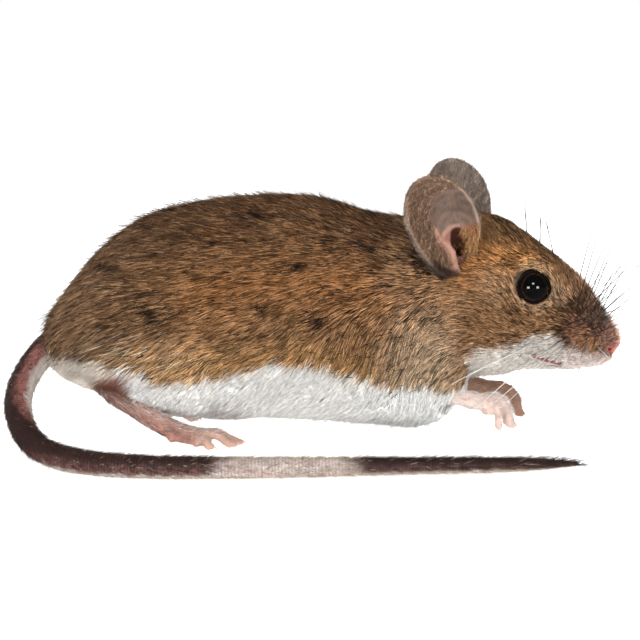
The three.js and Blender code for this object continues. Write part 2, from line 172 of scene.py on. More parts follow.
def smooth_curve(at, value):
    """The smooth curve through values that stand at rising places."""
    at, value = np.asarray(at, float), np.asarray(value, float)
    last = len(at) - 1
    before, after = np.maximum(np.arange(last + 1) - 1, 0), np.minimum(np.arange(last + 1) + 1, last)
    slopes = (value[after] - value[before]) / (at[after] - at[before])

    def read(x):
        i = np.clip(np.searchsorted(at, x) - 1, 0, last - 1)
        span = at[i + 1] - at[i]
        t = np.clip((x - at[i]) / span, 0, 1)
        rise = value[i + 1] - value[i]
        m0, m1 = slopes[i] * span, slopes[i + 1] * span
        return value[i] + t * (m0 + t * (3 * rise - 2 * m0 - m1 + t * (m0 + m1 - 2 * rise)))

    return read


def loft(sections, caps):
    """A body of oval sections along the first axis, closed by rounded caps."""
    top, bottom, half = (smooth_curve(sections[:, 0], sections[:, k]) for k in (1, 2, 3))
    start, end = sections[0, 0], sections[-1, 0]

    def field(q):
        x, y, z = q.T
        at = np.clip(x, start, end)
        into = np.maximum(np.maximum((start + caps[0] - x) / caps[0], (x - end + caps[1]) / caps[1]), 0)
        t, b = top(at), bottom(at)
        across, up = np.abs(y) / half(at), np.abs(z - (t + b) / 2) / ((t - b) / 2)
        ring = (across**SECTION_SQUARENESS + up**SECTION_SQUARENESS) ** (1 / SECTION_SQUARENESS)
        k = np.hypot(ring, into)
        run = np.sqrt(y**2 + (z - (t + b) / 2) ** 2 + (into * np.where(x < 0, *caps)) ** 2)
        return run * (1 - 1 / np.maximum(k, 0.05))

    return field


def ellipsoid(centre, radii):
    centre, radii = np.asarray(centre, float), np.asarray(radii, float)

    def field(p):
        q = (p - centre) / radii
        k = np.sqrt((q * q).sum(1))
        return k * (k - 1) / np.maximum(np.sqrt(((q / radii) ** 2).sum(1)), 1e-6)

    return field


def rod(points, radii, seam=0.0):
    """A chain of round lengths whose radius runs evenly from point to point."""
    points, radii = np.asarray(points, float), np.asarray(radii, float)

    def field(p):
        d = np.full(len(p), 1e6)
        for a, b, ra, rb in zip(points[:-1], points[1:], radii[:-1], radii[1:]):
            span = b - a
            t = np.clip(((p - a) @ span) / (span @ span), 0, 1)
            gap = p - a - t[:, None] * span
            length = np.sqrt((gap * gap).sum(1)) - (ra + (rb - ra) * t)
            d = join(d, length, seam) if seam else np.minimum(d, length)
        return d

    return field


def near(low, high, margin, field):
    """A field worked out only near its own box; further off it is the distance to that box."""
    low, high = np.asarray(low, float), np.asarray(high, float)

    def bounded(p):
        gap = np.maximum(np.maximum(low - p, p - high), 0)
        d = np.sqrt((gap * gap).sum(1))
        close = d < margin
        if close.any():
            d[close] = field(p[close])
        return d

    return bounded


def boxed_rod(points, radii, margin=3.0, seam=0.0):
    points = np.asarray(points, float)
    reach = max(radii)
    return near(points.min(0) - reach, points.max(0) + reach, margin, rod(points, radii, seam))


CURVE_STEPS = 24


def curve_points(points, count):
    """Evenly spaced points of the smooth (centripetal Catmull-Rom) curve through given points."""
    points = np.asarray(points, float)
    ends = np.vstack([2 * points[0] - points[1], points, 2 * points[-1] - points[-2]])
    fine = []
    for i in range(len(points) - 1):
        p0, p1, p2, p3 = ends[i : i + 4]
        d0, d1, d2 = (max(np.linalg.norm(b - a) ** 0.5, 1e-4) for a, b in ((p0, p1), (p1, p2), (p2, p3)))
        m1 = ((p1 - p0) / d0 - (p2 - p0) / (d0 + d1) + (p2 - p1) / d1) * d1
        m2 = ((p2 - p1) / d1 - (p3 - p1) / (d1 + d2) + (p3 - p2) / d2) * d1
        t = np.linspace(0, 1, CURVE_STEPS, endpoint=i == len(points) - 2)[:, None]
        fine.append(p1 + t * m1 + t**2 * (3 * (p2 - p1) - 2 * m1 - m2) + t**3 * (2 * (p1 - p2) + m1 + m2))
    fine = np.vstack(fine)
    run = np.concatenate([[0], np.cumsum(np.linalg.norm(np.diff(fine, axis=0), axis=1))])
    at = np.linspace(0, run[-1], count)
    return np.stack([np.interp(at, run, fine[:, k]) for k in range(3)], 1)


# ---- The coat's outline, the same as the solids' ----

THIGH = ((-25.5, 7.2, 16.0), (10.5, 7.6, 10.6))
SHANK = {"knee": (-21.5, 10.0, 9.8), "knee_radius": 3.4, "heel": (-32.0, 10.6, 12.0), "heel_radius": 2.7}
SHOULDER = ((14.5, 5.6, 11.5), (7.5, 6.2, 9.5))
CHEEK = ((1.5, 5.0, 16.0), (5.5, 3.8, 6.0))
WHISKER_PAD = ((16.6, 2.1, 13.2), (3.6, 2.2, 3.1))
BROW = ((7.0, 3.1, 24.2), (4.0, 3.0, 2.6))
# The loose fold of skin that fills the groove between the thigh and the belly.
FLANK_FOLD = ((-14.5, 8.0, 7.6), (6.5, 2.6, 3.2))


def on_side(xyz, sign, back=0.0):
    """A left-side point, on either side; the left leg's forms stand back by a share of its foot's shift."""
    return vec(xyz[0] - (LEFT_FOOT_BACK * back if sign > 0 else 0), xyz[1] * sign, xyz[2])


trunk_loft, head_loft = loft(TRUNK, TRUNK_CAPS), loft(HEAD, HEAD_CAPS)
bulges, limbs = [], []
for sign in SIDES:
    bulges.append(ellipsoid(on_side(THIGH[0], sign, 0.3), THIGH[1]))
    shank_ends = [on_side(SHANK["knee"], sign, 0.5), on_side(SHANK["heel"], sign, 1.0)]
    limbs.append(rod(shank_ends, [SHANK["knee_radius"], SHANK["heel_radius"]]))
    limbs.append(ellipsoid(on_side(SHOULDER[0], sign), SHOULDER[1]))
    limbs.append(ellipsoid(on_side(FLANK_FOLD[0], sign, 0.3), FLANK_FOLD[1]))
    for centre, radii in (CHEEK, WHISKER_PAD, BROW):
        bulges.append(ellipsoid(head_place(centre, sign), radii))


def coat_field(p):
    """The outline of the coat: the trunk and head, with the bulges and the upper limbs joined on."""
    d = join(trunk_loft(p), head_loft(head_local(p)), COAT_BLEND)
    for bulge in bulges:
        d = join(d, bulge(p), COAT_BLEND)
    for limb in limbs:
        d = join(d, limb(p), LIMB_BLEND)
    return d


def share_of_head(p):
    """1 on the head, 0 on the trunk, and between them on the neck."""
    ahead, _, high = head_local(p).T
    return smoothstep(ahead, -10, 0) * np.maximum(smoothstep(high, 7, 12), smoothstep(ahead, 1, 5))


def low_leg(p):
    """1 on the shank and the heel, and 0 higher up and further forward."""
    x, _, z = p.T
    return smoothstep(z, 13, 7) * smoothstep(x, -17, -21)


HEAD_DEPTH = ((-12, -4, 4, 9, 14, 18, 20.5), (1.5, 1.1, 0.75, 0.5, 0.42, 0.3, 0.15))
TRUNK_DEPTH = 1.6
LEG_THINNING = 0.45


def coat_depth(p):
    """How deep the coat is: the skin lies this far inside the outline."""
    ahead = head_local(p)[:, 0]
    on_head = share_of_head(p)
    trunk = TRUNK_DEPTH * (1 - LEG_THINNING * low_leg(p))
    return trunk * (1 - on_head) + np.interp(ahead, *HEAD_DEPTH) * on_head


# ---- Ears: thin cups, curled tightly at the root and opening towards the rim ----

EAR_SKIN = 0.25
EAR_RIM = 0.07
# How quickly the ear widens above its root, and its width there against an oval's.
EAR_SHOULDERS = 5.5
EAR_SPREAD = 1.06


def ear_frame(sign):
    """An ear's root, and its directions: up the ear, out of its opening, and across it."""
    ear = EARS[sign]
    axis = unit(ear["along"])
    mouth = vec(*ear["open"])
    mouth = unit(mouth - axis * (mouth @ axis))
    return head_point(*ear["root"]), axis, mouth, np.cross(axis, mouth)


def ear_local(p, sign):
    """Up the ear, along its curl, and out of the cup's wall on the hollow side."""
    base, axis, mouth, across = ear_frame(sign)
    rel = p - base
    up = rel @ axis
    curl = EAR["base_curl"] + (EAR["rim_curl"] - EAR["base_curl"]) * np.clip(up / EAR["length"], -0.1, 1.1)
    a, m = rel @ across, curl - rel @ mouth
    return np.stack([up, curl * np.arctan2(a, m), curl - np.hypot(a, m)], 1)


def ear_outline(local):
    """Distance in from the rim, measured along the cup's wall, and below zero inside it."""
    half = EAR["length"] / 2
    share = np.clip(local[:, 0] / EAR["length"], 0.004, 1)
    reach = EAR_SPREAD * (1 - np.exp(-EAR_SHOULDERS * share)) * EAR["width"] / 2
    u, v = local[:, 0] / half - 1, local[:, 1] / reach
    k = np.hypot(u, v)
    return k * (k - 1) / np.maximum(np.hypot(u / half, v / reach), 1e-4)


def ear_point(up, arc, depth, sign):
    """The place of ear-local distances: the way back from ear_local."""
    base, axis, mouth, across = ear_frame(sign)
    curl = EAR["base_curl"] + (EAR["rim_curl"] - EAR["base_curl"]) * up / EAR["length"]
    turn, radius = arc / curl, curl - depth
    return base + axis * up + across * radius * math.sin(turn) + mouth * (curl - radius * math.cos(turn))


# Inside the cup, as distances up the ear, forward along its curl and out of its wall.
BOWL = ((10.2, 3.2), (4.3, 4.1))
# The bowl is hollowed this deep, and its edge stands up this high over this share of its size.
BOWL_DEPTH = 0.06
BOWL_EDGE = 0.13
BOWL_EDGE_WIDTH = 0.06
RIDGE = ((9.8, -0.7, 0.15), (8.3, -0.9, 0.3), (6.9, -0.2, 0.45), (5.5, 0.2, 0.55), (4.1, -0.4, 0.6),
         (2.8, -1.1, 0.9))
RIDGE_RADII = (0.22, 0.4, 0.5, 0.52, 0.55, 0.7)
CRESCENT = ((8.0, -0.5, 0.1), (8.7, 0.6, 0.16), (8.9, 1.8, 0.16), (8.5, 3.0, 0.1))
CRESCENT_RADII = (0.2, 0.22, 0.22, 0.15)
CANAL = ((7.6, 2.2, 0.7), (6.6, 2.2, 0.3), (5.2, 1.8, -0.3), (3.6, 0.9, -1.4))
CANAL_RADII = (0.8, 1.25, 1.3, 1.0)
EAR_BASE = ((1.5, 1.0, -1.6), (4.0, 1.8, -1.6), (7.0, 1.8, -1.1))
EAR_BASE_RADII = (2.5, 2.3, 1.8)


def inner_rod(places, radii, sign, seam=0.0):
    return rod([ear_point(up, arc * -sign, depth, sign) for up, arc, depth in places], radii, seam)


def bowl_place(local, sign):
    """0 at the middle of an ear's smooth bowl and 1 at its edge."""
    forward = -sign * local[:, 1]
    return np.hypot((local[:, 0] - BOWL[0][0]) / BOWL[1][0], (forward - BOWL[0][1]) / BOWL[1][1])


def ear_field(sign):
    """An ear: a thin curled wall with its hollow bowl, inner ridges, fleshy root and canal."""
    base, axis, _, _ = ear_frame(sign)
    middle = base + axis * EAR["length"] / 2
    ridge = inner_rod(RIDGE, RIDGE_RADII, sign, 0.2)
    canal = inner_rod(CANAL, CANAL_RADII, sign, 0.2)
    flesh = inner_rod(EAR_BASE, EAR_BASE_RADII, sign, 0.5)
    crescent = inner_rod(CRESCENT, CRESCENT_RADII, sign, 0.2)

    def field(p):
        local = ear_local(p, sign)
        rim = ear_outline(local)
        wall = EAR_SKIN + EAR_RIM * smoothstep(rim, -1.3, -0.3)
        outside = np.maximum(rim + wall, 0)
        d = np.hypot(outside, local[:, 2]) - wall
        bowl = bowl_place(local, sign) - 1
        hollow_side = smoothstep(local[:, 2], -0.05, 0.15)
        edge = np.exp(-((bowl / BOWL_EDGE_WIDTH) ** 2))
        d += hollow_side * (BOWL_DEPTH * smoothstep(bowl, 0.05, -0.1) - BOWL_EDGE * edge)
        for form, blend in ((flesh, 0.9), (ridge, 0.35), (crescent, 0.3)):
            d = join(d, form(p), blend)
        return carve(d, canal(p), SKIN_BLEND["canal"])

    reach = EAR["length"] / 2 + 1.5
    return near(middle - reach, middle + reach, 2.5, field)


# ---- Feet ----

# Each hind toe from its root to its tip: ahead of the hip line, outwards from the gauge line, and high.
HIND_TOES = (
    ((-21.8, -1.5, 2.2), (-18.9, -2.6, 0.6)),
    ((-19.9, -1.1, 2.1), (-13.9, -2.1, 0.6)),
    ((-19.6, -0.3, 2.2), (-13.3, -0.4, 0.6)),
    ((-19.8, 0.7, 2.1), (-14.3, 1.2, 0.6)),
    ((-20.6, 1.4, 1.9), (-17.8, 2.4, 0.6)),
)
HIND_TOE = 0.62
SOLE = ((-31.2, -0.5, 12.2), (-32.6, -0.4, 9.6), (-29.4, -0.2, 7.0), (-25.8, 0.0, 4.3), (-22.4, 0.2, 2.5),
        (-19.4, 0.3, 1.7))
SOLE_RADII = (1.5, 1.65, 1.6, 1.5, 1.45, 1.45, 1.3)
FORELEGS = {
    -1: {"elbow": vec(17, -7, 7), "wrist": vec(22.8, -6, 4.7), "knuckle": vec(27.2, -6, 4.3)},
    1: {"elbow": vec(19.5, 6, 7.4), "wrist": vec(26, 4.6, 5.1), "knuckle": vec(30.8, 4.6, 4.1)},
}
# Fore digits ahead of, outwards from and above the knuckle line's middle.
FORE_DIGITS = (
    ((-2.9, -1.0, -0.4), (-1.7, -1.8, -1.8)),
    ((-0.2, -1.1, 0.0), (1.9, -1.8, -3.8)),
    ((0.2, -0.4, 0.1), (2.5, -0.6, -3.8)),
    ((0.0, 0.5, 0.1), (1.8, 0.8, -3.8)),
    ((-0.9, 1.2, -0.1), (-0.5, 1.9, -3.8)),
)
FORE_DIGIT = 0.54
# A digit's thickness along it: its shaft, a knuckle, and the pad before its end.
DIGIT_STEPS = 8
DIGIT_PROFILE = ((0, 0.3, 0.5, 0.65, 0.85, 1), (1.1, 0.85, 0.92, 0.8, 0.98, 0.62))
SOLE_STEPS = 14
FORELEG_STEPS = 5
SHAFT_BLEND = 1.0
PAD_BLEND = 0.35
TOE_BLEND = 0.45
LOWEST_FORE_DIGIT = 0.5
FOREARM_RADII = (2.1, 1.8, 1.5, 1.25, 1.15)
PALM_RADII = (1.1, 1.15, 1.35, 1.45, 1.15)


def digit(root, tip, thickness):
    """A digit's middle line and radii: a slim shaft, a knuckle, and a swollen pad under the tip."""
    knuckle = root + (tip - root) * 0.5
    knuckle[2] = root[2] * 0.75 + tip[2] * 0.25 + thickness * 0.4
    pad = root + (tip - root) * 0.8
    pad[2] = tip[2] + thickness * 0.35
    points = curve_points([root, knuckle, pad, tip], DIGIT_STEPS)
    radii = np.interp(np.linspace(0, 1, DIGIT_STEPS), *DIGIT_PROFILE)
    return points, radii * thickness


def hind_place(xyz, sign):
    """A point of a hind foot, given ahead, outwards from the foot's middle line, and high."""
    back = LEFT_FOOT_BACK if sign > 0 else 0
    return vec(xyz[0] - back, sign * (FOOT_HALF_GAUGE + xyz[1]), xyz[2])


def fore_place(xyz, sign):
    """A point of a forepaw, given from its knuckles ahead, outwards and up."""
    knuckle = FORELEGS[sign]["knuckle"]
    return vec(knuckle[0] + xyz[0], knuckle[1] + xyz[1] * sign, max(knuckle[2] + xyz[2], LOWEST_FORE_DIGIT))


def digits(ends, place, thickness, sign):
    """All digits of one foot, each from its root to its tip."""
    return [digit(place(root, sign), place(tip, sign), thickness) for root, tip in ends]


hind_digits = each_side(lambda sign: digits(HIND_TOES, hind_place, HIND_TOE, sign))
fore_digits = each_side(lambda sign: digits(FORE_DIGITS, fore_place, FORE_DIGIT, sign))
sole_lines = each_side(lambda sign: curve_points([hind_place(p, sign) for p in SOLE], SOLE_STEPS))
sole_radii = np.interp(np.linspace(0, 1, SOLE_STEPS), np.linspace(0, 1, len(SOLE_RADII)), SOLE_RADII)


def fore_lines(sign):
    """A foreleg's straight forearm and palm, each as a line of points."""
    leg = FORELEGS[sign]
    share = np.linspace(0, 1, FORELEG_STEPS)[:, None]
    arm = leg["elbow"] + share * (leg["wrist"] - leg["elbow"])
    palm = leg["wrist"] + share * (leg["knuckle"] - leg["wrist"])
    return arm, palm


# Pads under a hind foot, ahead of the hip line, outwards and high, with their radius.
HIND_PADS = (
    ((-20.0, -1.4, 1.35), 0.85),
    ((-18.7, -0.7, 1.2), 0.8),
    ((-18.6, 0.6, 1.2), 0.8),
    ((-20.0, 1.5, 1.3), 0.8),
    ((-22.6, -1.0, 1.7), 0.75),
    ((-23.6, 0.9, 2.0), 0.75),
)
HIND_BOX = ((-34.5, -4, 0), (-12.5, 4, 14))
FORE_PADS = (
    ((0.1, -0.9, -0.9), 0.7),
    ((0.4, 0.4, -0.95), 0.7),
    ((-1.6, 0.9, -1.0), 0.75),
    ((-2.4, -0.5, -0.9), 0.7),
)


def foot_field(sign):
    """Both feet of one side, with their toes and pads."""
    parts = [boxed_rod(sole_lines[sign], sole_radii)]
    toes = [boxed_rod(points, radii, seam=0.2) for points, radii in hind_digits[sign]]
    pads = [ellipsoid(hind_place(at, sign), (r, r, r)) for at, r in HIND_PADS]
    ends = np.array([hind_place(corner, sign) for corner in HIND_BOX])
    hind = near(ends.min(0), ends.max(0), 3.0, lambda p: merged(p, parts, toes, pads))
    arm, palm = fore_lines(sign)
    fore_parts = [boxed_rod(arm, FOREARM_RADII), boxed_rod(palm, PALM_RADII)]
    fore_toes = [boxed_rod(points, radii, seam=0.2) for points, radii in fore_digits[sign]]
    fore_pads = [ellipsoid(fore_place(at, sign), (r, r, r)) for at, r in FORE_PADS]
    low, high = np.minimum(palm.min(0) - 6, arm.min(0) - 3), palm.max(0) + 6
    fore = near(low, high, 3.0, lambda p: merged(p, fore_parts, fore_toes, fore_pads))
    return lambda p: np.minimum(hind(p), fore(p))


def merged(p, shafts, toes, pads):
    """Shafts joined softly, with toes and pads set on them."""
    d = shafts[0](p)
    for pieces, blend in ((shafts[1:], SHAFT_BLEND), (pads, PAD_BLEND), (toes, TOE_BLEND)):
        for piece in pieces:
            d = join(d, piece(p), blend)
    return d


# ---- Tail ----

TAIL_RADII = ((0.0, 0.3, 0.8, 0.93, 1.0), (2.35, 1.92, 1.3, 1.05, 0.4))
# The skin lies this far inside the outline, and less at the tip.
TAIL_HAIR = 0.22
TAIL_HAIR_SHARES = ((0, 0.9, 1), (1, 1, 0.3))
# Where the tail lies on the floor its middle stands this share of its radius above it.
TAIL_SINK = 0.9
TAIL_LYING = ((-38.0, -24.8, 0.2), (-29.5, -30.2, 0.3), (-13.4, -33.4, 0.43), (5.0, -35.1, 0.58),
              (20.0, -35.9, 0.8), (31.5, -33.8, 1.0))
tail_radius = smooth_curve(*TAIL_RADII)
TAIL_ROUTE = [
    (-39.5, 1.2, 15.6),
    (-42.0, -0.6, 14.4),
    (-44.5, -3.0, 11.7),
    (-46.1, -8.0, 8.2),
    (-45.4, -13.4, 5.1),
    (-42.9, -19.1, 2.8),
] + [(x, y, float(tail_radius(share)) * TAIL_SINK) for x, y, share in TAIL_LYING]
TAIL_STEPS = 90
tail_line = curve_points(TAIL_ROUTE, TAIL_STEPS)
tail_shares = np.linspace(0, 1, TAIL_STEPS)
tail_thick = tail_radius(tail_shares) - TAIL_HAIR * np.interp(tail_shares, *TAIL_HAIR_SHARES)
TAIL_LENGTH = float(np.linalg.norm(np.diff(tail_line, axis=0), axis=1).sum())


def tail_place(p):
    """Distance from the tail's middle line and the share of its length, for each point."""
    best, share = np.full(len(p), 1e6), np.zeros(len(p))
    for i, (a, b) in enumerate(zip(tail_line[:-1], tail_line[1:])):
        span = b - a
        t = np.clip(((p - a) @ span) / (span @ span), 0, 1)
        gap = p - a - t[:, None] * span
        d = np.sqrt((gap * gap).sum(1))
        closer = d < best
        best = np.where(closer, d, best)
        share = np.where(closer, (i + t) / (TAIL_STEPS - 1), share)
    return best, share


TAIL_BATCH = 15
tail_lengths = [
    boxed_rod(tail_line[i : i + TAIL_BATCH + 1], tail_thick[i : i + TAIL_BATCH + 1])
    for i in range(0, TAIL_STEPS - 1, TAIL_BATCH)
]

# ---- Eyes' lids, nose, mouth and the skin as a whole ----

EYE_OUT = (0.15, 0.975, 0.12)
LID_ANGLE = math.radians(58)
LID_THICKNESS = 0.21
LID_STANDOFF = 0.1
# The lids reach further over the eye in its corners: each corner's width as an angle, and its reach.
FRONT_CORNER = (0.32, 0.17)
BACK_CORNER = (0.3, 0.1)
SOCKET_GAP = 0.05
NOSE_PAD = ((19.5, 0.0, 13.4), (1.2, 1.55, 1.3))
NOSTRIL = ((18.95, 3.2, 12.5), (0.42, 0.5, 0.24))
MOUTH_DEPTH = 0.45
GROOVE_DEPTH = 0.25
GROOVE_HALF = 0.16
# Everything of the face lies ahead of this place.
FACE_START = 24
# How softly each thing joins the skin, or is cut out of it.
SKIN_BLEND = {"nose": 0.5, "socket": 0.1, "lid": 0.45, "nostril": 0.15, "ear": 1.0, "canal": 0.3, "limb": 1.2}
MOUTH_LINE = ((6.5, 12.0), (9.0, 10.95), (11.0, 10.35), (13.5, 9.8), (16.0, 9.6))


def eye_frame(sign):
    """An eye's centre, and its directions: out of the head, ahead and up."""
    centre = head_place(EYE["centre"], sign)
    out = head_direction(EYE_OUT[0], EYE_OUT[1] * sign, EYE_OUT[2])
    ahead = head_direction(1, 0, -0.25)
    ahead = unit(ahead - out * (ahead @ out))
    return centre, out, ahead, np.cross(out, ahead) * -sign


def lid_point(theta, frame_of_eye):
    """The lid's edge at a turn round the eye: 0 is the corner by the nose."""
    centre, out, ahead, up = frame_of_eye
    front = np.exp(-((theta / FRONT_CORNER[0]) ** 2)) * FRONT_CORNER[1]
    back = np.exp(-(((math.pi - np.abs(theta)) / BACK_CORNER[0]) ** 2)) * BACK_CORNER[1]
    angle = (LID_ANGLE + (front + back))[:, None]
    ring = np.cos(theta)[:, None] * ahead + np.sin(theta)[:, None] * up
    return centre + (EYE["radius"] + LID_STANDOFF) * (np.cos(angle) * out + np.sin(angle) * ring)


def lid_field(sign):
    """Both lids of an eye, as one rounded rim along their edge."""
    eye = eye_frame(sign)
    centre, _, ahead, up = eye

    def field(p):
        rel = p - centre
        theta = np.arctan2(rel @ up, rel @ ahead)
        return np.linalg.norm(p - lid_point(theta, eye), axis=1) - LID_THICKNESS

    reach = EYE["radius"] + 0.6
    return near(centre - reach, centre + reach, 2.0, field)


def canal_field(sign):
    return boxed_rod([ear_point(up, arc * -sign, depth, sign) for up, arc, depth in CANAL], CANAL_RADII)


ears, feet, canals, lids = (each_side(field) for field in (ear_field, foot_field, canal_field, lid_field))
sockets = [ellipsoid(eye_frame(sign)[0], [EYE["radius"] + SOCKET_GAP] * 3) for sign in SIDES]
nose_pad = ellipsoid(head_point(*NOSE_PAD[0]), NOSE_PAD[1])
nostrils = [ellipsoid(head_place(NOSTRIL[0], sign), NOSTRIL[1]) for sign in SIDES]


def nostril_gap(p):
    return np.min([nostril(p) for nostril in nostrils], axis=0)


def near_mouth(local, half):
    """1 on the line between the lips, for places in the head's own frame, falling off over a half height."""
    ahead, _, high = local.T
    line = np.interp(ahead, *zip(*MOUTH_LINE))
    return np.exp(-(((high - line) / half) ** 2)) * smoothstep(ahead, 6, 7.5) * smoothstep(ahead, 14, 11.5)


def folds(p):
    """Small creases, as a depth into the skin: the mouth and the groove of the nose."""
    local = head_local(p)
    ahead, aside, high = local.T
    mouth = MOUTH_DEPTH * near_mouth(local, 0.3)
    groove = GROOVE_DEPTH * np.exp(-((aside / GROOVE_HALF) ** 2)) * smoothstep(ahead, 18.6, 19.6)
    return mouth + groove * smoothstep(high, 14.2, 13)


def skin_field(p):
    """The whole skin: the coat's depth inside the outline, with the face's parts, ears, feet and tail."""
    d = coat_field(p) + coat_depth(p)
    close_head = p[:, 0] > FACE_START
    if close_head.any():
        q = p[close_head]
        face = join(d[close_head], nose_pad(q), SKIN_BLEND["nose"])
        for socket in sockets:
            face = carve(face, socket(q), SKIN_BLEND["socket"])
        for lid in lids.values():
            face = join(face, lid(q), SKIN_BLEND["lid"])
        for nostril in nostrils:
            face = carve(face, nostril(q), SKIN_BLEND["nostril"])
        d[close_head] = face + folds(q)
    for sign in SIDES:
        d = join(d, ears[sign](p), SKIN_BLEND["ear"])
        d = carve(d, canals[sign](p), SKIN_BLEND["canal"])
        d = join(d, feet[sign](p), SKIN_BLEND["limb"])
    d = join(d, tail_lengths[0](p), SKIN_BLEND["limb"])
    for length in tail_lengths[1:]:
        d = np.minimum(d, length(p))
    return np.maximum(d, -p[:, 2])


# ---- From field to mesh ----

STEP = 0.22
BLOCK = 6
BLOCKS_AT_ONCE = 1000
POINTS_AT_ONCE = 60000
# A block is worked out in full where its middle is this near the surface: its half diagonal and some more.
HALF_DIAGONAL = 0.87
BLOCK_MARGIN = 0.9


def lattice(field, low, high):
    """Field values on an even lattice, worked out only in blocks that the surface may cross."""
    counts = np.ceil((high - low) / STEP / BLOCK).astype(int)
    size = STEP * BLOCK
    index = np.stack(np.meshgrid(*[np.arange(n) for n in counts], indexing="ij"), -1).reshape(-1, 3)
    centres = low + (index + 0.5) * size - STEP / 2
    coarse = in_batches(field, centres)
    values = np.empty(tuple(counts * BLOCK), np.float32)
    blocks = values.reshape(counts[0], BLOCK, counts[1], BLOCK, counts[2], BLOCK)
    blocks[:] = coarse.reshape(tuple(counts))[:, None, :, None, :, None]
    close = index[np.abs(coarse) < size * HALF_DIAGONAL + BLOCK_MARGIN]
    inner = np.stack(np.meshgrid(*[np.arange(BLOCK)] * 3, indexing="ij"), -1).reshape(-1, 3)
    for start in range(0, len(close), BLOCKS_AT_ONCE):
        part = close[start : start + BLOCKS_AT_ONCE]
        nodes = (part[:, None] * BLOCK + inner[None]).reshape(-1, 3)
        values[tuple(nodes.T)] = in_batches(field, low + nodes * STEP)
    return values


def in_batches(field, p):
    """The field at many points, some at a time, so that memory stays small."""
    starts = range(0, len(p), POINTS_AT_ONCE)
    return np.concatenate([field(p[i : i + POINTS_AT_ONCE]) for i in starts])


CORNERS = np.array([(i, j, k) for i in (0, 1) for j in (0, 1) for k in (0, 1)])
QUAD_TURN = ((0, 0), (1, 0), (1, 1), (0, 1))
EDGES = [(a, b) for a in range(8) for b in range(a + 1, 8) if np.abs(CORNERS[a] - CORNERS[b]).sum() == 1]


def surface_net(values, low):
    """The closed surface where the lattice's values cross zero: its points and its four-sided faces."""
    inside = values < 0
    shape = np.array(values.shape) - 1
    count = np.zeros(shape, np.uint8)
    for i, j, k in CORNERS:
        count += inside[i : i + shape[0], j : j + shape[1], k : k + shape[2]]
    cells = np.argwhere((count > 0) & (count < 8))
    number = np.full(tuple(shape), -1, np.int32)
    number[tuple(cells.T)] = np.arange(len(cells))
    corner = np.stack([values[tuple((cells + c).T)] for c in CORNERS], 1)
    total, crossings = np.zeros((len(cells), 3)), np.zeros(len(cells))
    for a, b in EDGES:
        va, vb = corner[:, a], corner[:, b]
        crosses = (va < 0) != (vb < 0)
        t = np.where(crosses, va / np.where(crosses, va - vb, 1), 0)[:, None]
        total += np.where(crosses[:, None], CORNERS[a] + t * (CORNERS[b] - CORNERS[a]), 0)
        crossings += crosses
    points = low + (cells + total / crossings[:, None]) * STEP
    faces = []
    for axis in range(3):
        ahead = [slice(None)] * 3
        behind = [slice(None)] * 3
        ahead[axis], behind[axis] = slice(1, None), slice(None, -1)
        flip = np.argwhere(inside[tuple(ahead)] != inside[tuple(behind)])
        u, v = [np.eye(3, dtype=int)[(axis + k) % 3] for k in (1, 2)]
        quad = np.stack([number[tuple((flip - s * u - t * v).T)] for s, t in QUAD_TURN], 1)
        outwards = inside[tuple(flip.T)]
        faces.append(np.where(outwards[:, None], quad, quad[:, ::-1]))
    return points, np.vstack(faces)


def slope(field, p, e=0.02):
    """The field's value and the unit direction in which it grows."""
    turns = np.array([(1, -1, -1), (-1, -1, 1), (-1, 1, -1), (1, 1, 1)], float)
    tests = [in_batches(field, p + turn * e) for turn in turns]
    grow = sum(turn * test[:, None] for turn, test in zip(turns, tests)) / (4 * e)
    return sum(tests) / 4, grow


def new_mesh(name, points, faces, smooth=True):
    """A mesh object from arrays of drawing points and of faces with the same number of corners."""
    mesh = bpy.data.meshes.new(name)
    points = np.asarray(to_world(points), np.float32)
    faces = np.asarray(faces, np.int32)
    mesh.vertices.add(len(points))
    mesh.vertices.foreach_set("co", points.ravel())
    mesh.loops.add(faces.size)
    mesh.loops.foreach_set("vertex_index", faces.ravel())
    mesh.polygons.add(len(faces))
    mesh.polygons.foreach_set("loop_start", np.arange(0, faces.size, faces.shape[1], dtype=np.int32))
    mesh.polygons.foreach_set("use_smooth", np.full(len(faces), smooth))
    mesh.update(calc_edges=True)
    mesh.validate()
    piece = bpy.data.objects.new(name, mesh)
    bpy.context.scene.collection.objects.link(piece)
    return piece


def apply_modifiers(piece):
    bpy.context.view_layer.update()
    made = bpy.data.meshes.new_from_object(piece.evaluated_get(bpy.context.evaluated_depsgraph_get()))
    piece.modifiers.clear()
    piece.data = made


def set_attribute(mesh, name, values, kind="FLOAT", domain="POINT"):
    field = {"FLOAT": "value", "FLOAT_COLOR": "color", "FLOAT_VECTOR": "vector"}[kind]
    mesh.attributes.new(name, kind, domain).data.foreach_set(field, np.asarray(values, np.float32).ravel())


def set_tint(mesh, tones):
    set_attribute(mesh, "tint", np.hstack([tones, np.ones((len(tones), 1))]), "FLOAT_COLOR")


SKIN_FACES = 188000
SURFACE_ROUNDS = 2
LEAST_SLOPE = 0.25
SKIN_LOW, SKIN_HIGH = vec(-49, -42, -0.6), vec(48, 16.5, 43)


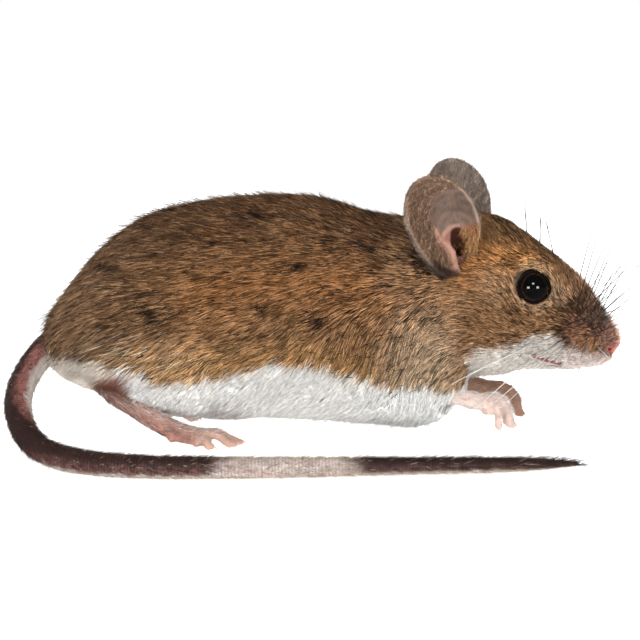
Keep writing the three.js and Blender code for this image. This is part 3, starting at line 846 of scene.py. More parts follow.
def make_skin():
    """The skin as one closed mesh: netted, moved on to the field's zero and thinned."""
    values = lattice(skin_field, SKIN_LOW, SKIN_HIGH)
    points, faces = surface_net(values, SKIN_LOW)
    for _ in range(SURFACE_ROUNDS):
        d, grow = slope(skin_field, points)
        steep = np.maximum((grow * grow).sum(1), LEAST_SLOPE)
        move = np.clip(d / steep, -STEP / 2, STEP / 2)
        points = points - grow * move[:, None]
    points[:, 2] = np.maximum(points[:, 2], 0)
    piece = new_mesh("skin", points, faces)
    thin = piece.modifiers.new("thin", "DECIMATE")
    thin.ratio = min(1, SKIN_FACES / (2 * len(faces)))
    apply_modifiers(piece)
    piece.data.name = "skin"
    return piece


# ---- Markings: one set of colours for the skin and for the coat over it ----

BROWN_BACK = vec(0.0860, 0.0355, 0.0115)
BROWN_UPPER = vec(0.1500, 0.0620, 0.0185)
BROWN_FLANK = vec(0.1480, 0.0735, 0.0310)
BROWN_LOW = vec(0.2450, 0.1370, 0.0530)
BROWN_RUMP = vec(0.1350, 0.0760, 0.0400)
BROWN_THIGH = vec(0.3150, 0.1850, 0.0870)
BROWN_SHOULDER = vec(0.2850, 0.2120, 0.1400)
BROWN_NECK = vec(0.2700, 0.1750, 0.1000)
BROWN_CROWN = vec(0.0350, 0.0175, 0.0082)
BROWN_FOREHEAD = vec(0.2900, 0.1300, 0.0410)
BROWN_CHEEK = vec(0.1480, 0.0740, 0.0300)
BROWN_MUZZLE = vec(0.1780, 0.0920, 0.0500)
BROWN_PAD = vec(0.1750, 0.0780, 0.0430)
EYE_RING = vec(0.2700, 0.1750, 0.1000)
SHADOW = vec(0, 0, 0)
WHITE_BELLY = vec(0.80, 0.78, 0.74)
WHITE_CHEST = vec(0.84, 0.835, 0.81)
WHITE_THROAT = vec(0.590, 0.545, 0.490)
WHITE_RUMP = vec(0.750, 0.660, 0.570)
WHITE_CHIN = vec(0.650, 0.535, 0.495)
BROWN_HEEL = vec(0.1900, 0.0500, 0.0220)

# The brown from its lower border up to the middle of the back, and up to the crown: how high, and the colour.
TRUNK_TONES = ((0.0, 0.2, 0.5, 0.78, 1.0),
               (BROWN_LOW, BROWN_FLANK, BROWN_UPPER * 1.1, BROWN_BACK * 1.15, BROWN_BACK))
HEAD_TONES = ((0.0, 0.35, 0.7, 1.0), (BROWN_CHEEK, BROWN_CHEEK * 1.05, BROWN_FOREHEAD, BROWN_CROWN))
DARKER_NAPE = -0.08
BELLY_SHADE = 0.45
# Patches of the left side, mirrored on the right, each as its place, its size, its colour and its strength.
TRUNK_PATCHES = (
    ((-22.5, 16.0, 13.0), (8.0, 9.0, 3.6), BROWN_THIGH, 0.7),
    ((-27.0, 0.0, 20.5), (6.0, 26.0, 3.6), SHADOW, 0.3),
    ((14.0, 0.0, 11.0), (7.0, 20.0, 9.0), BROWN_SHOULDER, 0.8),
    ((13.5, 0.0, 23.0), (6.5, 30.0, 6.0), BROWN_NECK, 0.32),
)
FACE_PATCHES = (
    ((14.6, 4.6, 16.2), (3.6, 3.0, 3.2), BROWN_PAD, 0.85),
    ((11.2, 5.0, 21.3), (1.9, 2.4, 1.9), vec(0.300, 0.205, 0.135), 0.5),
    ((18.4, 1.6, 14.2), (2.4, 2.8, 2.4), vec(0.330, 0.185, 0.140), 0.85),
    ((-6.9, 8.5, 20.8), (3.4, 3.4, 2.4), vec(0.370, 0.255, 0.155), 0.8),
    ((1.2, 7.5, 23.0), (3.2, 3.4, 3.0), vec(0.225, 0.145, 0.085), 0.5),
    ((-7.0, 8.5, 19.0), (3.8, 3.6, 3.0), vec(0.350, 0.225, 0.130), 0.65),
)
EYE_RING_EDGE = (4.6, 3.4)
HEEL_PATCH = ((-32.2, 11.5, 9.6), (3.0, 4.0, 2.2))
# How high the white of the belly reaches: along x on the trunk, and ahead of the pivot on the head.
TRUNK_BORDER = ((-46, -38, -32, -25, -21, -15, -9, -4.8, 0, 3.6, 8, 16, 19.5, 21.5),
                (13.8, 13.6, 12.6, 10.4, 9.9, 11.0, 12.6, 12.2, 11.4, 9.8, 8.6, 7.0, 7.2, 8.2))
HEAD_BORDER = ((-4, 4, 8, 9.6, 10.8, 12.0, 14.0, 18.5, 21),
               (12.7, 13.9, 15.0, 15.8, 14.4, 12.8, 11.8, 11.4, 11.0))
# How much higher the white reaches between the forelegs.
WHITE_BREAST = 8.0
# The border between brown and white wavers, and is soft.
BORDER_WAVE = 0.45
BORDER_HALF = 0.5
WAVES = 7
WAVE_SWING = 3.2


def waves(p, size, seed):
    """Smooth seeded noise, mostly between -1 and 1, whose swells are about the given size."""
    draw = np.random.default_rng(seed)
    total = np.zeros(len(p))
    for _ in range(WAVES):
        along = unit(draw.normal(size=3)) * (2 * math.pi / (size * draw.uniform(0.8, 2.2)))
        total += np.sin(p @ along + draw.uniform(0, 2 * math.pi))
    return total / WAVE_SWING


def blended(a, b, share):
    """Each point's mix of two colours: the first where its share is 0, and the second where it is 1."""
    return a + (b - a) * np.asarray(share)[:, None]


def oval_place(p, centre, radii):
    """0 at the middle of an oval region and 1 at its edge."""
    q = (p - np.asarray(centre)) / np.asarray(radii)
    return np.sqrt((q * q).sum(1))


def around(p, centre, radii, soft=0.5):
    """1 inside an oval region and 0 outside it."""
    return smoothstep(oval_place(p, centre, radii), 1 + soft, 1 - soft)


def tone_scale(share, at, tones):
    """A colour read off a scale of colours that stand at rising places."""
    return np.stack([np.interp(share, at, [tone[k] for tone in tones]) for k in range(3)], 1)


def patched(tone, p, patches):
    """Colours with soft oval patches laid over them, each a place, a size, a colour and a strength."""
    for place, size, color, strength in patches:
        tone = blended(tone, color, strength * around(p, place, size))
    return tone


trunk_top, head_top = smooth_curve(TRUNK[:, 0], TRUNK[:, 1]), smooth_curve(HEAD[:, 0], HEAD[:, 1])


def border_height(p):
    """How high the white reaches at each point."""
    x, y, _ = p.T
    ahead, _, high = head_local(p).T
    on_head = smoothstep(ahead + 0.2 * (high - 11) + 0.9 * waves(p, 1.6, 17), -5.0, -1.4)
    trunk, head = np.interp(x, *TRUNK_BORDER), np.interp(ahead, *HEAD_BORDER)
    trunk = trunk + WHITE_BREAST * smoothstep(np.abs(y), 7.5, 4.5) * smoothstep(x, 12, 17)
    return trunk + (head - trunk) * on_head


def markings(p):
    """The coat's colour at each point, and how much of it is brown."""
    x, y, z = p.T
    ahead = head_local(p)[:, 0]
    on_head = smoothstep(ahead, -7, -1)
    border = border_height(p)
    brown = smoothstep(z - border + BORDER_WAVE * waves(p, 3.0, 3), -BORDER_HALF, BORDER_HALF)
    top = trunk_top(np.clip(x, -43, 25)) * (1 - on_head) + head_top(np.clip(ahead, -13, 19.9)) * on_head
    share = np.clip((z - border) / (top - border), 0, 1) + 0.05 * waves(p, 7, 5)
    trunk = tone_scale(share, *TRUNK_TONES)
    trunk = blended(trunk, BROWN_RUMP, 0.75 * smoothstep(x, -15, -36) * smoothstep(share, 1.0, 0.75))
    trunk = trunk * (1 + DARKER_NAPE * smoothstep(x, -6, 4) * smoothstep(share, 0.6, 0.9))[:, None]
    trunk = patched(trunk, np.stack([x, np.abs(y), z], 1), TRUNK_PATCHES)
    head = tone_scale(share, *HEAD_TONES)
    head = blended(head, BROWN_MUZZLE, smoothstep(ahead, 9, 15) * smoothstep(share, 0.25, 0.6))
    for sign in SIDES:
        head = patched(head, p, [(head_place(place, sign), *patch) for place, *patch in FACE_PATCHES])
        gap = np.linalg.norm(p - head_place(EYE["centre"], sign), axis=1)
        head = blended(head, EYE_RING, 0.7 * smoothstep(gap, *EYE_RING_EDGE))
    tone = blended(trunk, head, on_head)
    white = blended(WHITE_BELLY, WHITE_CHEST, smoothstep(x, 2, 14))
    white = white * (1 - BELLY_SHADE * smoothstep(z, 4.8, 2.4) * smoothstep(ahead, -4, -8))[:, None]
    white = blended(white, WHITE_RUMP, smoothstep(x, -29, -34))
    white = blended(white, WHITE_THROAT, smoothstep(ahead, -7, -2))
    white = blended(white, WHITE_CHIN, smoothstep(ahead, 8, 15))
    coat = blended(white, tone, brown)
    for sign in SIDES:
        heel = around(p, on_side(HEEL_PATCH[0], sign, 1.0), HEEL_PATCH[1], 0.3)
        coat = blended(coat, BROWN_HEEL, 0.95 * heel)
    return coat, brown


# ---- The lie of the coat ----

NOSE_TIP = head_point(21.5, 0, 13.8)
PAD_MIDDLE = (15.0, 4.4, 15.6)
# The hairs stand thicker on the middle of a whisker pad.
PAD_THICKER = 2.2
PAD_SIZE = (1.7, 1.7, 1.7)


def turned(direction, normal, angle):
    """Tangents turned by an angle about the surface's normal."""
    a = angle[:, None]
    return direction * np.cos(a) + np.cross(normal, direction) * np.sin(a)


def flattened(direction, normal):
    """Directions laid down on the surface, as unit tangents."""
    return unit(direction - normal * (direction * normal).sum(1, keepdims=True))


# How steeply the trunk's hairs point down, and where the hairs part round an eye and a whisker pad.
SAG = {"all": 0.06, "flank": 0.75, "rump": 0.9, "shoulder": 0.9, "arm": 0.9, "shank": 0.8}
ARM = ((14.5, 10, 9), (6, 5, 8))
EYE_PARTING = (6.5, 3.2)
PAD_PARTING = ((4.4, 2.2), (0.2, 1.6))


def lie_of_coat(p, normal):
    """The way the hairs point: away from the nose on the head, back and down over the trunk and limbs."""
    x, _, z = p.T
    ahead = head_local(p)[:, 0]
    on_head = smoothstep(ahead, -11, -3) * smoothstep(z, 5, 9)
    side = np.clip(np.abs(normal[:, 1]), 0, 1)
    sag = SAG["all"] + SAG["flank"] * side * smoothstep(z, 27, 9) + SAG["rump"] * smoothstep(x, -34, -42)
    sag += SAG["shoulder"] * side * smoothstep(x, -4, 12) * smoothstep(z, 30, 14)
    sag = sag + SAG["arm"] * (around(np.abs(p), *ARM) * (x > 0))
    sag = sag + SAG["shank"] * (smoothstep(z, 12, 7) * smoothstep(x, -19, -23))
    trunk = np.stack([-np.ones(len(p)), np.zeros(len(p)), -sag], 1)
    away = unit(p - NOSE_TIP)
    away[:, 2] += 0.10 - 0.35 * smoothstep(ahead, 4, -6) * side
    for sign in SIDES:
        from_eye = p - eye_frame(sign)[0]
        gap = np.linalg.norm(from_eye, axis=1)
        radial = from_eye / gap[:, None]
        away -= radial * ((away * radial).sum(1) * smoothstep(gap, *EYE_PARTING) * 0.9)[:, None]
        from_pad = p - head_place(PAD_MIDDLE, sign)
        gap = np.linalg.norm(from_pad, axis=1)
        share = 0.45 * smoothstep(gap, *PAD_PARTING[0]) * smoothstep(gap, *PAD_PARTING[1])
        away = blended(away, unit(from_pad), share)
    lie = flattened(blended(unit(trunk), away, on_head), normal)
    swirl = 0.22 * waves(p, 9, 21) + 0.2 * waves(p, 3.5, 22) * smoothstep(ahead, 4, -6)
    return turned(lie, normal, swirl)


# ---- Tufts ----

LOWEST_HAIR = 0.03
TUFT_PATCH = 0.003
MID_SHARE = 0.45
TUFT_FLATNESS = 0.7


def repeated(faces, count, corners):
    """The faces of one tuft or rod, as those of many that each have the same number of corners."""
    return (np.array(faces)[None] + np.arange(count)[:, None, None] * corners).reshape(-1, 3)


def tuft_mesh(name, points, side, out, width, tint, spot, banding=None):
    """Closed three-sided tufts: spindles bent at a middle place, or plain spikes where there is none."""
    count, bent = len(points), points.shape[1] == 3
    turns = np.arange(3) * 2 * math.pi / 3 + math.pi / 2
    ring = np.cos(turns)[:, None, None] * side + TUFT_FLATNESS * np.sin(turns)[:, None, None] * out
    body = points[:, int(bent), None] + (ring * (width / 2)[None, :, None]).transpose(1, 0, 2)
    corners = np.concatenate([body, points[:, -1:]] + ([points[:, :1]] if bent else []), 1)
    corners[:, :, 2] = np.maximum(corners[:, :, 2], LOWEST_HAIR)
    per = corners.shape[1]
    faces = [(a, 3, (a + 1) % 3) for a in range(3)]
    faces += [((a + 1) % 3, 4, a) for a in range(3)] if bent else [(0, 1, 2)]
    piece = new_mesh(name, corners.reshape(-1, 3), repeated(faces, count, per))
    mesh = piece.data
    along = np.array([MID_SHARE] * 3 + [1, 0]) if bent else np.array([0, 0, 0, 1.0])
    set_attribute(mesh, "along", np.tile(along, count))
    set_tint(mesh, np.repeat(tint, per, 0))
    if banding is not None:
        set_attribute(mesh, "banding", np.repeat(banding, per))
    across = np.array([0.5, 0.0, 1.0, 0.5, 0.5])[:per]
    patch = spot[:, None] * (1 - TUFT_PATCH) + TUFT_PATCH * np.stack([across, along], 1)[None]
    uv = mesh.uv_layers.new(name="OFBake")
    uv.data.foreach_set("uv", patch[:, np.array(faces)].reshape(-1).astype(np.float32))
    return piece


def scatter(surface, weight, count):
    """Seeded random places on a surface, thick where the weight is high: points, normals."""
    chance = surface["areas"] * weight
    pick = rng.choice(len(chance), count, p=chance / chance.sum())
    a, b = rng.random(count), rng.random(count)
    fold = a + b > 1
    a, b = np.where(fold, 1 - a, a), np.where(fold, 1 - b, b)
    mix = np.stack([1 - a - b, a, b], 1)[:, :, None]
    corners = surface["corners"][pick]
    return (surface["vertices"][corners] * mix).sum(1), unit((surface["normals"][corners] * mix).sum(1))


def read_all(items, name, width, kind=np.float32):
    """One field of all of a mesh's items, as rows."""
    values = np.empty(len(items) * width, kind)
    items.foreach_get(name, values)
    return values.reshape(-1, width)


def surface_of(piece):
    """A mesh's triangles and points in the drawing frame, with each triangle's area and centre."""
    mesh = piece.data
    mesh.calc_loop_triangles()
    corners = read_all(mesh.loop_triangles, "vertices", 3, np.int32)
    vertices = read_all(mesh.vertices, "co", 3).astype(float) * MM_PER_METRE - SHIFT
    normals = read_all(mesh.vertex_normals, "vector", 3).astype(float)
    a, b, c = (vertices[corners[:, k]] for k in range(3))
    areas, centres = np.linalg.norm(np.cross(b - a, c - a), axis=1) / 2, (a + b + c) / 3
    return {"corners": corners, "vertices": vertices, "normals": normals, "areas": areas, "centres": centres}


# The hairs' length along the head and the trunk, and how much shorter it is on the shank, belly and lips.
HEAD_LENGTH = ((-12, -6, 0, 6, 12, 16, 19, 20.5), (3.4, 2.9, 2.5, 2.0, 1.8, 1.6, 1.1, 0.7))
TRUNK_LENGTH = ((-46, -38, -20, 0, 14, 24), (4.0, 4.3, 4.4, 4.2, 3.8, 3.4))
SHANK_SHORTER = 0.55
BELLY_SHORTER = 0.15
LIPS_SHORTER = 0.6


def coat_length(p):
    """The length of the coat's hairs at each point."""
    x, _, z = p.T
    local = head_local(p)
    on_head = share_of_head(p)
    belly = smoothstep(z, 12, 6)
    trunk = np.interp(x, *TRUNK_LENGTH) * (1 - SHANK_SHORTER * low_leg(p)) * (1 - BELLY_SHORTER * belly)
    short = 1 - LIPS_SHORTER * near_mouth(local, 1.6)
    return trunk * (1 - on_head) + np.interp(local[:, 0], *HEAD_LENGTH) * on_head * short


# Each lock has about this many tufts, pulled together by this much, and its own shade.
LOCK_TUFTS = 14
LOCK_PULL = 0.5
LOCK_SHADE = 0.28


def clumped(p, tip, share):
    """The pull on each tip towards the nearest leading tuft's, which forms locks, and each lock's shade."""
    leaders = rng.choice(len(p), max(int(len(p) / LOCK_TUFTS), 1), replace=False)
    tree = kdtree.KDTree(len(leaders))
    for i, leader in enumerate(leaders):
        tree.insert(p[leader], i)
    tree.balance()
    nearest = leaders[np.array([tree.find(q)[1] for q in p])]
    shade = rng.normal(0, LOCK_SHADE, len(p))
    return (tip[nearest] - tip) * share[:, None], shade[nearest]


# Each as a place on the head, its size, and how many of its hairs are dark. The places behind the ears stand
# for painted shade there.
DARK_FUR_AND_SHADE_PLACES = (
    ((-9.2, 8.0, 26.4), (2.3, 3.4, 2.4), 0.6),
    ((-11.2, 8.0, 20.4), (1.5, 3.0, 2.4), 0.35),
    ((-8.6, 8.0, 17.8), (1.9, 3.0, 0.8), 0.4),
    ((-15.2, 8.0, 23.8), (2.8, 3.0, 0.9), 0.6),
    ((-15.5, 8.0, 26.8), (2.2, 3.0, 0.7), 0.45),
    ((3.8, 6.5, 26.4), (1.8, 2.0, 1.1), 0.35),
    ((11.3, 5.5, 17.0), (1.5, 2.0, 1.4), 0.4),
    ((13.0, 4.4, 19.3), (2.2, 2.0, 1.4), 0.35),
    ((15.5, 2.6, 18.4), (4.0, 4.0, 3.4), 0.32),
    ((12.0, 4.8, 15.0), (1.2, 1.8, 1.9), 0.35),
)


def dark_fur_and_shade(p):
    """Where dark hairs show behind the ears, on the neck and by the whisker pads: partly where the coat parts
    over its dark under-fur, partly painted shade in the hollow behind each ear's root.
    """
    places = np.zeros(len(p))
    for sign in SIDES:
        for place, radii, share in DARK_FUR_AND_SHADE_PLACES:
            places += share * around(p, head_place(place, sign), radii, 0.35)
    return places


def partings(p, start, end):
    """1 in the small scattered partings of the trunk's coat, with edges between two levels of a noise."""
    return smoothstep(waves(p, 2.8, 91) + 0.3 * waves(p, 1.1, 92), start, end) * (1 - share_of_head(p))


# How much the tufts' colours vary, and how many are dark: in all, more on the dark back, and in the partings.
TONE_SPREAD = 0.56
DARK_SHARE = 0.16
DARKER_BACK = 0.2
DARK_PARTINGS = 0.6
DARK_HAIR = 0.17
# Light hairs tend to one pale tan, and the colours mix along their border.
PALE_TIP = vec(0.48, 0.31, 0.165)
PALE_TIPS = 0.5
LIGHTEST = 2.1
BORDER_MIX = 0.4
BROWN_GAIN = 1.9
WHITE_GAIN = 1.12
TONE_LIMITS = (0.004, 0.93)


def tuft_tones(p, lock_tone):
    """Each tuft's own colour, the marking made lighter or darker, and how much of it is brown."""
    tone, brown = markings(p + vec(0, 0, 1) * rng.normal(0, BORDER_MIX, len(p))[:, None])
    tone = tone * (WHITE_GAIN * (1 - brown) + BROWN_GAIN * brown)[:, None]
    light = np.exp((rng.normal(0, TONE_SPREAD, len(p)) + lock_tone) * (0.3 + 0.7 * brown))
    light *= np.exp(0.13 * waves(p, 2.2, 31) * brown)
    dark_share = DARK_SHARE + DARKER_BACK * smoothstep(tone[:, 0], 0.3, 0.1)
    # The dark places behind the ears add painted shade as dark hairs.
    dark_share = dark_share + DARK_PARTINGS * partings(p, 1.15, 1.4) + dark_fur_and_shade(p)
    dark = rng.random(len(p)) < dark_share * brown * brown
    pale = brown * np.clip(light - 1, 0, 1.2) * PALE_TIPS * smoothstep(tone[:, 0], 0.6, 0.2)
    mixed = blended(tone * np.minimum(light, LIGHTEST)[:, None], PALE_TIP, pale)
    return np.clip(np.where(dark[:, None], DARK_HAIR * tone, mixed), *TONE_LIMITS), brown


# Each unwrap's axis height, and its start and length along the trunk or the head.
TRUNK_UNWRAP = (17, -47, 76)
HEAD_UNWRAP = (18, -16, 38)


def unwrapped(along, aside, above, start, length):
    """A place on an unwrap of a long form: round its axis, and along it."""
    turn = np.arctan2(aside, above) / (2 * math.pi) + 0.5
    return np.stack([turn, np.clip((along - start) / length, 0, 1)], 1)


def trunk_spot(p):
    x, y, z = p.T
    return unwrapped(x, y, z - TRUNK_UNWRAP[0], *TRUNK_UNWRAP[1:])


def head_spot(p):
    """The head's axis sinks towards the nose."""
    ahead, aside, high = head_local(p).T
    above = high - HEAD_UNWRAP[0] + 0.25 * np.clip(ahead, 0, 20)
    return unwrapped(ahead, aside, above, *HEAD_UNWRAP[1:])


# A tuft takes its colour from the marking under its outer part. A few tufts, and many on the muzzle, stand
# out of the coat by up to these heights.
TONE_SHARE = 0.65
STRAY_SHARE = 0.06
STRAY_LIFT = 1.25
MUZZLE_LIFT = 0.75
TIP_LIFT = 0.85
# A tuft starts this deep in the skin, and its middle and its tip lie this share of the coat's depth in.
ROOT_DEPTH = 0.12
MIDDLE_DEPTH = 0.36
TIP_DEPTH = 0.1
# How the tufts vary: their turn, their length and width as shares, and how far a lock may pull one.
LIE_SPREAD = 0.12
LENGTH_RANGE = (0.7, 1.15)
WIDTH_RANGE = (0.75, 1.35)
PULL_RANGE = (0.3, 1)
STRAY_WIDTH = 0.75
LONGEST_PULL = 0.4
MIDDLE_PULL = 0.35


def grow_coat(name, weight, count, spot, width, rough):
    """One piece of the coat: tufts rooted in the skin whose tips lie at the coat's outline."""
    p, normal = scatter(skin_surface, weight, count)
    lie = turned(lie_of_coat(p, normal), normal, rng.normal(0, LIE_SPREAD, count))
    length = coat_length(p) * rng.uniform(*LENGTH_RANGE, count)
    depth = coat_depth(p)
    middle, tip = p + lie * (length * MID_SHARE)[:, None], p + lie * length[:, None]
    pull, shade = clumped(p, tip, LOCK_PULL * rng.uniform(*PULL_RANGE, count))
    pulled = np.maximum(np.linalg.norm(pull, axis=1), 1e-6)
    pull *= np.minimum(1, LONGEST_PULL * length / pulled)[:, None]
    middle, tip = middle + pull * MIDDLE_PULL, tip + pull
    stray = rng.random(count) < STRAY_SHARE
    lift = np.where(stray, rng.uniform(0.3, STRAY_LIFT, count) * depth / TRUNK_DEPTH, 0.0)
    level = lift - TIP_DEPTH * depth
    level += rough * (rng.normal(0, 1, count) + 0.8 * waves(p, 1.8, 41)) * np.minimum(depth, 1)
    ahead = head_local(p)[:, 0]
    level += MUZZLE_LIFT * smoothstep(ahead, 8, 15) * smoothstep(normal[:, 2], -0.2, 0.5) * rng.random(count)
    level += TIP_LIFT * smoothstep(ahead, 16.5, 19) * rng.random(count)
    middle += normal * (-MIDDLE_DEPTH * depth - in_batches(coat_field, middle))[:, None]
    tip += normal * (level - in_batches(coat_field, tip))[:, None]
    points = np.stack([p - normal * ROOT_DEPTH, middle, tip], 1)
    tones, brown = tuft_tones(p + lie * (length * TONE_SHARE)[:, None], shade)
    side = unit(np.cross(lie, normal))
    thick = width * rng.uniform(*WIDTH_RANGE, count) * np.where(stray, STRAY_WIDTH, 1)
    return tuft_mesh(name, points, side, normal, thick, tones, spot(p), brown)


def body_weights(centres):
    """How thickly each face of the skin is covered: 0 on ears, feet, tail, eyes and nose."""
    cover = smoothstep(in_batches(lambda q: coat_field(q) + coat_depth(q), centres), 0.5, 0.15)
    gap, _ = tail_place(centres)
    cover *= smoothstep(gap, 2.3, 3.0)
    for sign in SIDES:
        gap = np.linalg.norm(centres - eye_frame(sign)[0], axis=1)
        cover *= smoothstep(gap, EYE["radius"] + 0.2, EYE["radius"] + 0.45)
    local = head_local(centres)
    cover *= smoothstep(oval_place(local, *NOSE_ZONE), 0.65, 1.05)
    cover *= smoothstep(nostril_gap(centres), 0.05, 0.3)
    cover *= 1 - 0.97 * smoothstep(near_mouth(local, 0.55), 0.3, 0.6)
    for sign in SIDES:
        cover *= 1 + PAD_THICKER * around(local, mirrored(PAD_MIDDLE, sign), PAD_SIZE)
    return cover


# ---- What each place of the skin belongs to ----

EAR_BOWL_TONE = vec(0.100, 0.062, 0.044)
EAR_BAND_TONE = vec(0.086, 0.051, 0.035)
EAR_BACK_TONE = vec(0.171, 0.126, 0.104)
EAR_RIDGE_TONE = vec(0.370, 0.191, 0.139)
EAR_RED_TONE = vec(0.230, 0.086, 0.057)
EAR_RIM_TONE = vec(0.300, 0.217, 0.165)
EAR_SHADE_TONE = vec(0.030, 0.016, 0.012)
# Reddish skin of the ear's canal, darkened as painted shadow in the hole.
EAR_CANAL_SHADOW_TONE = vec(0.070, 0.020, 0.013)
FOOT_TONE = vec(0.350, 0.165, 0.125)
TOE_TONE = vec(0.500, 0.300, 0.225)
PAW_TONE = vec(0.610, 0.440, 0.380)
# The far forepaw's skin is painted darker: painted shade.
FAR_PAW_SHADE_TONE = vec(0.290, 0.150, 0.095)
HEEL_TONE = vec(0.170, 0.060, 0.040)
TAIL_TOP = vec(0.037, 0.015, 0.012)
TAIL_SIDE = vec(0.300, 0.116, 0.096)
TAIL_UNDER = vec(0.533, 0.475, 0.446)
TAIL_PALE = vec(0.533, 0.444, 0.422)
TAIL_PALE_MOTTLE = vec(0.385, 0.215, 0.207)
DUSKY = 0.42
# The pale stretch comes and goes between these shares of the tail's length.
TAIL_PALE_START, TAIL_PALE_END = (0.515, 0.552), (0.69, 0.725)
NOSE_ZONE = ((20.0, 0.0, 12.4), (2.0, 3.4, 1.5))
NOSE_TONE = vec(0.450, 0.165, 0.128)
NOSTRIL_TONE = vec(0.260, 0.012, 0.014)
NOSE_FRONT_TONE = vec(0.330, 0.165, 0.140)
PAD_SKIN_TONE = vec(0.060, 0.026, 0.022)
LID_TONE = vec(0.006, 0.004, 0.004)
MOUTH_TONE = vec(0.190, 0.050, 0.045)
PAD_SKIN_SIZE = (3.4, 2.4, 2.2)
LID_EDGE = (0.62, 0.36)
SKIN_LIMITS = (0.003, 0.9)

tail_tangents = unit(np.gradient(tail_line, axis=0))


def tail_frame(share):
    """The tail's middle line, its direction, and the two ways square to it, at shares of its length."""
    at = share * (TAIL_STEPS - 1)
    steps = np.arange(TAIL_STEPS)
    centre = np.stack([np.interp(at, steps, tail_line[:, k]) for k in range(3)], 1)
    along = unit(np.stack([np.interp(at, steps, tail_tangents[:, k]) for k in range(3)], 1))
    # The tail's back faces up where it lies, and out from the body where it leaves the rump.
    turn = smoothstep(share, 0.14, 0.34)
    back = np.stack([turn - 1, 0.35 - 0.1 * turn, 0.3 + 0.7 * turn], 1)
    back = flattened(back, along)
    return centre, along, back, np.cross(along, back)


def tail_height(p, share):
    """1 on the tail's back, 0 on its sides and -1 beneath it."""
    centre, _, back, _ = tail_frame(share)
    return (unit(p - centre) * back).sum(1)


def tail_tone(p, share):
    """Dark above and cream below, dusky pink between, with one pale stretch past the middle."""
    height = tail_height(p, share) + 0.12 * waves(p, 1.2, 51)
    by_rump = smoothstep(share, 0.24, 0.16)
    tone = blended(TAIL_UNDER, TAIL_SIDE, smoothstep(height, -0.8, -0.35))
    tone = blended(tone, TAIL_TOP, smoothstep(height, -0.2, 0.6))
    dusk = blended(TAIL_SIDE * DUSKY, TAIL_TOP, smoothstep(height, -0.6, 0.3))
    dusk *= (1 - 0.35 * smoothstep(share, 0.7, 0.76))[:, None]
    tone = blended(tone, dusk, 0.9 * (1 - by_rump) * smoothstep(height, -0.95, -0.7))
    edge = share - 0.018 * height + 0.006 * waves(p, 1.5, 52)
    pale = smoothstep(edge, *TAIL_PALE_START) * smoothstep(edge + 0.03 * height, *TAIL_PALE_END[::-1])
    mottled = blended(TAIL_PALE, TAIL_PALE_MOTTLE, smoothstep(waves(p, 0.9, 53), 0.2, 1.2))
    return blended(tone, mottled, 0.94 * pale)


# The painted light and shade of the bowl's fine folds runs in arcs round this place, up the ear and along its
# curl.
RIB_CENTRE = (8.6, 2.2)


def ear_side(local):
    """1 on the hollow side of an ear's wall, and 0 on its back."""
    return smoothstep(local[:, 2], -0.05, 0.05)


def ear_root_shade(local, forward):
    """1 along the lower back edge of an ear, where the dark fur behind its root shades it."""
    up = local[:, 0]
    edge = smoothstep(ear_outline(local), -2.3, -1.1) * smoothstep(up, 9.5, 5.5)
    root = smoothstep(up + 0.5 * forward, 2.4, 0.6)
    return np.maximum(edge, root) * smoothstep(forward, -0.4, -1.4)


def ear_tone(p, sign):
    local = ear_local(p, sign)
    up, forward = local[:, 0], -sign * local[:, 1]
    bowl = bowl_place(local, sign)
    arcs = np.hypot(up - RIB_CENTRE[0], forward - RIB_CENTRE[1])
    # The bowl's fine folds are painted as lighter and darker arcs, as painted light and shade; the arcs are
    # also lighter towards their middle.
    fold_shading = 1 + 0.22 * np.sin(5.5 * arcs + 1.6 * waves(p, 2.5, 62)) + 0.16 * waves(p, 3.0, 63)
    fold_shading *= 1 + 0.4 * smoothstep(arcs, 4.5, 1.0)
    inside = blended(EAR_BAND_TONE, EAR_BOWL_TONE * fold_shading[:, None], smoothstep(bowl, 1.08, 0.94))
    inside = blended(inside, EAR_RIDGE_TONE * 0.62, 0.35 * np.exp(-(((bowl - 0.97) / 0.05) ** 2)))
    # The concha is reddish skin, painted darker downwards into the canal: painted shade in the hollow.
    low = smoothstep(up, 8.6, 7.6) * smoothstep(forward, -0.6, 0.4)
    concha = blended(EAR_RED_TONE, EAR_CANAL_SHADOW_TONE, smoothstep(up, 7.8, 5.6))
    inside = blended(inside, concha, 0.9 * low)
    ridge = inner_rod(RIDGE, RIDGE_RADII, sign)(p)
    inside = blended(inside, EAR_RIDGE_TONE, smoothstep(ridge, 0.4, 0.05))
    crescent = inner_rod(CRESCENT, CRESCENT_RADII, sign)(p)
    inside = blended(inside, EAR_RIDGE_TONE, 0.75 * smoothstep(crescent, 0.3, 0.02))
    rim = smoothstep(ear_outline(local), -0.5, -0.2)
    inside = blended(inside, EAR_RIM_TONE, 0.6 * rim)
    tone = blended(EAR_BACK_TONE, inside, ear_side(local))
    tone = blended(tone, EAR_SHADE_TONE, 0.85 * ear_root_shade(local, forward))
    # The canal itself is painted near black-red: painted shadow.
    canal = inner_rod(CANAL, CANAL_RADII, sign)(p)
    return blended(tone, EAR_CANAL_SHADOW_TONE, smoothstep(canal, 0.5, 0.1))


def toe_share(p, sign):
    """1 on the toes and 0 on the foot behind them."""
    ahead = p[:, 0] + (LEFT_FOOT_BACK if sign > 0 else 0)
    return smoothstep(ahead, -21, -18)


PART_REACH = 6
PART_SOFTNESS = 0.22


def part_weights(p):
    """How much each place belongs to the body, tail, ears and feet."""
    gap, share = tail_place(p)
    thick = np.interp(share, tail_shares, tail_thick)
    distances = {"body": coat_field(p) + coat_depth(p), "tail": gap - thick}
    for sign in SIDES:
        distances["ear", sign] = ears[sign](p)
        distances["foot", sign] = feet[sign](p)
    weights = {k: np.exp(-np.clip(d, 0, PART_REACH) / PART_SOFTNESS) for k, d in distances.items()}
    total = sum(weights.values())
    return {k: w / total for k, w in weights.items()}, share


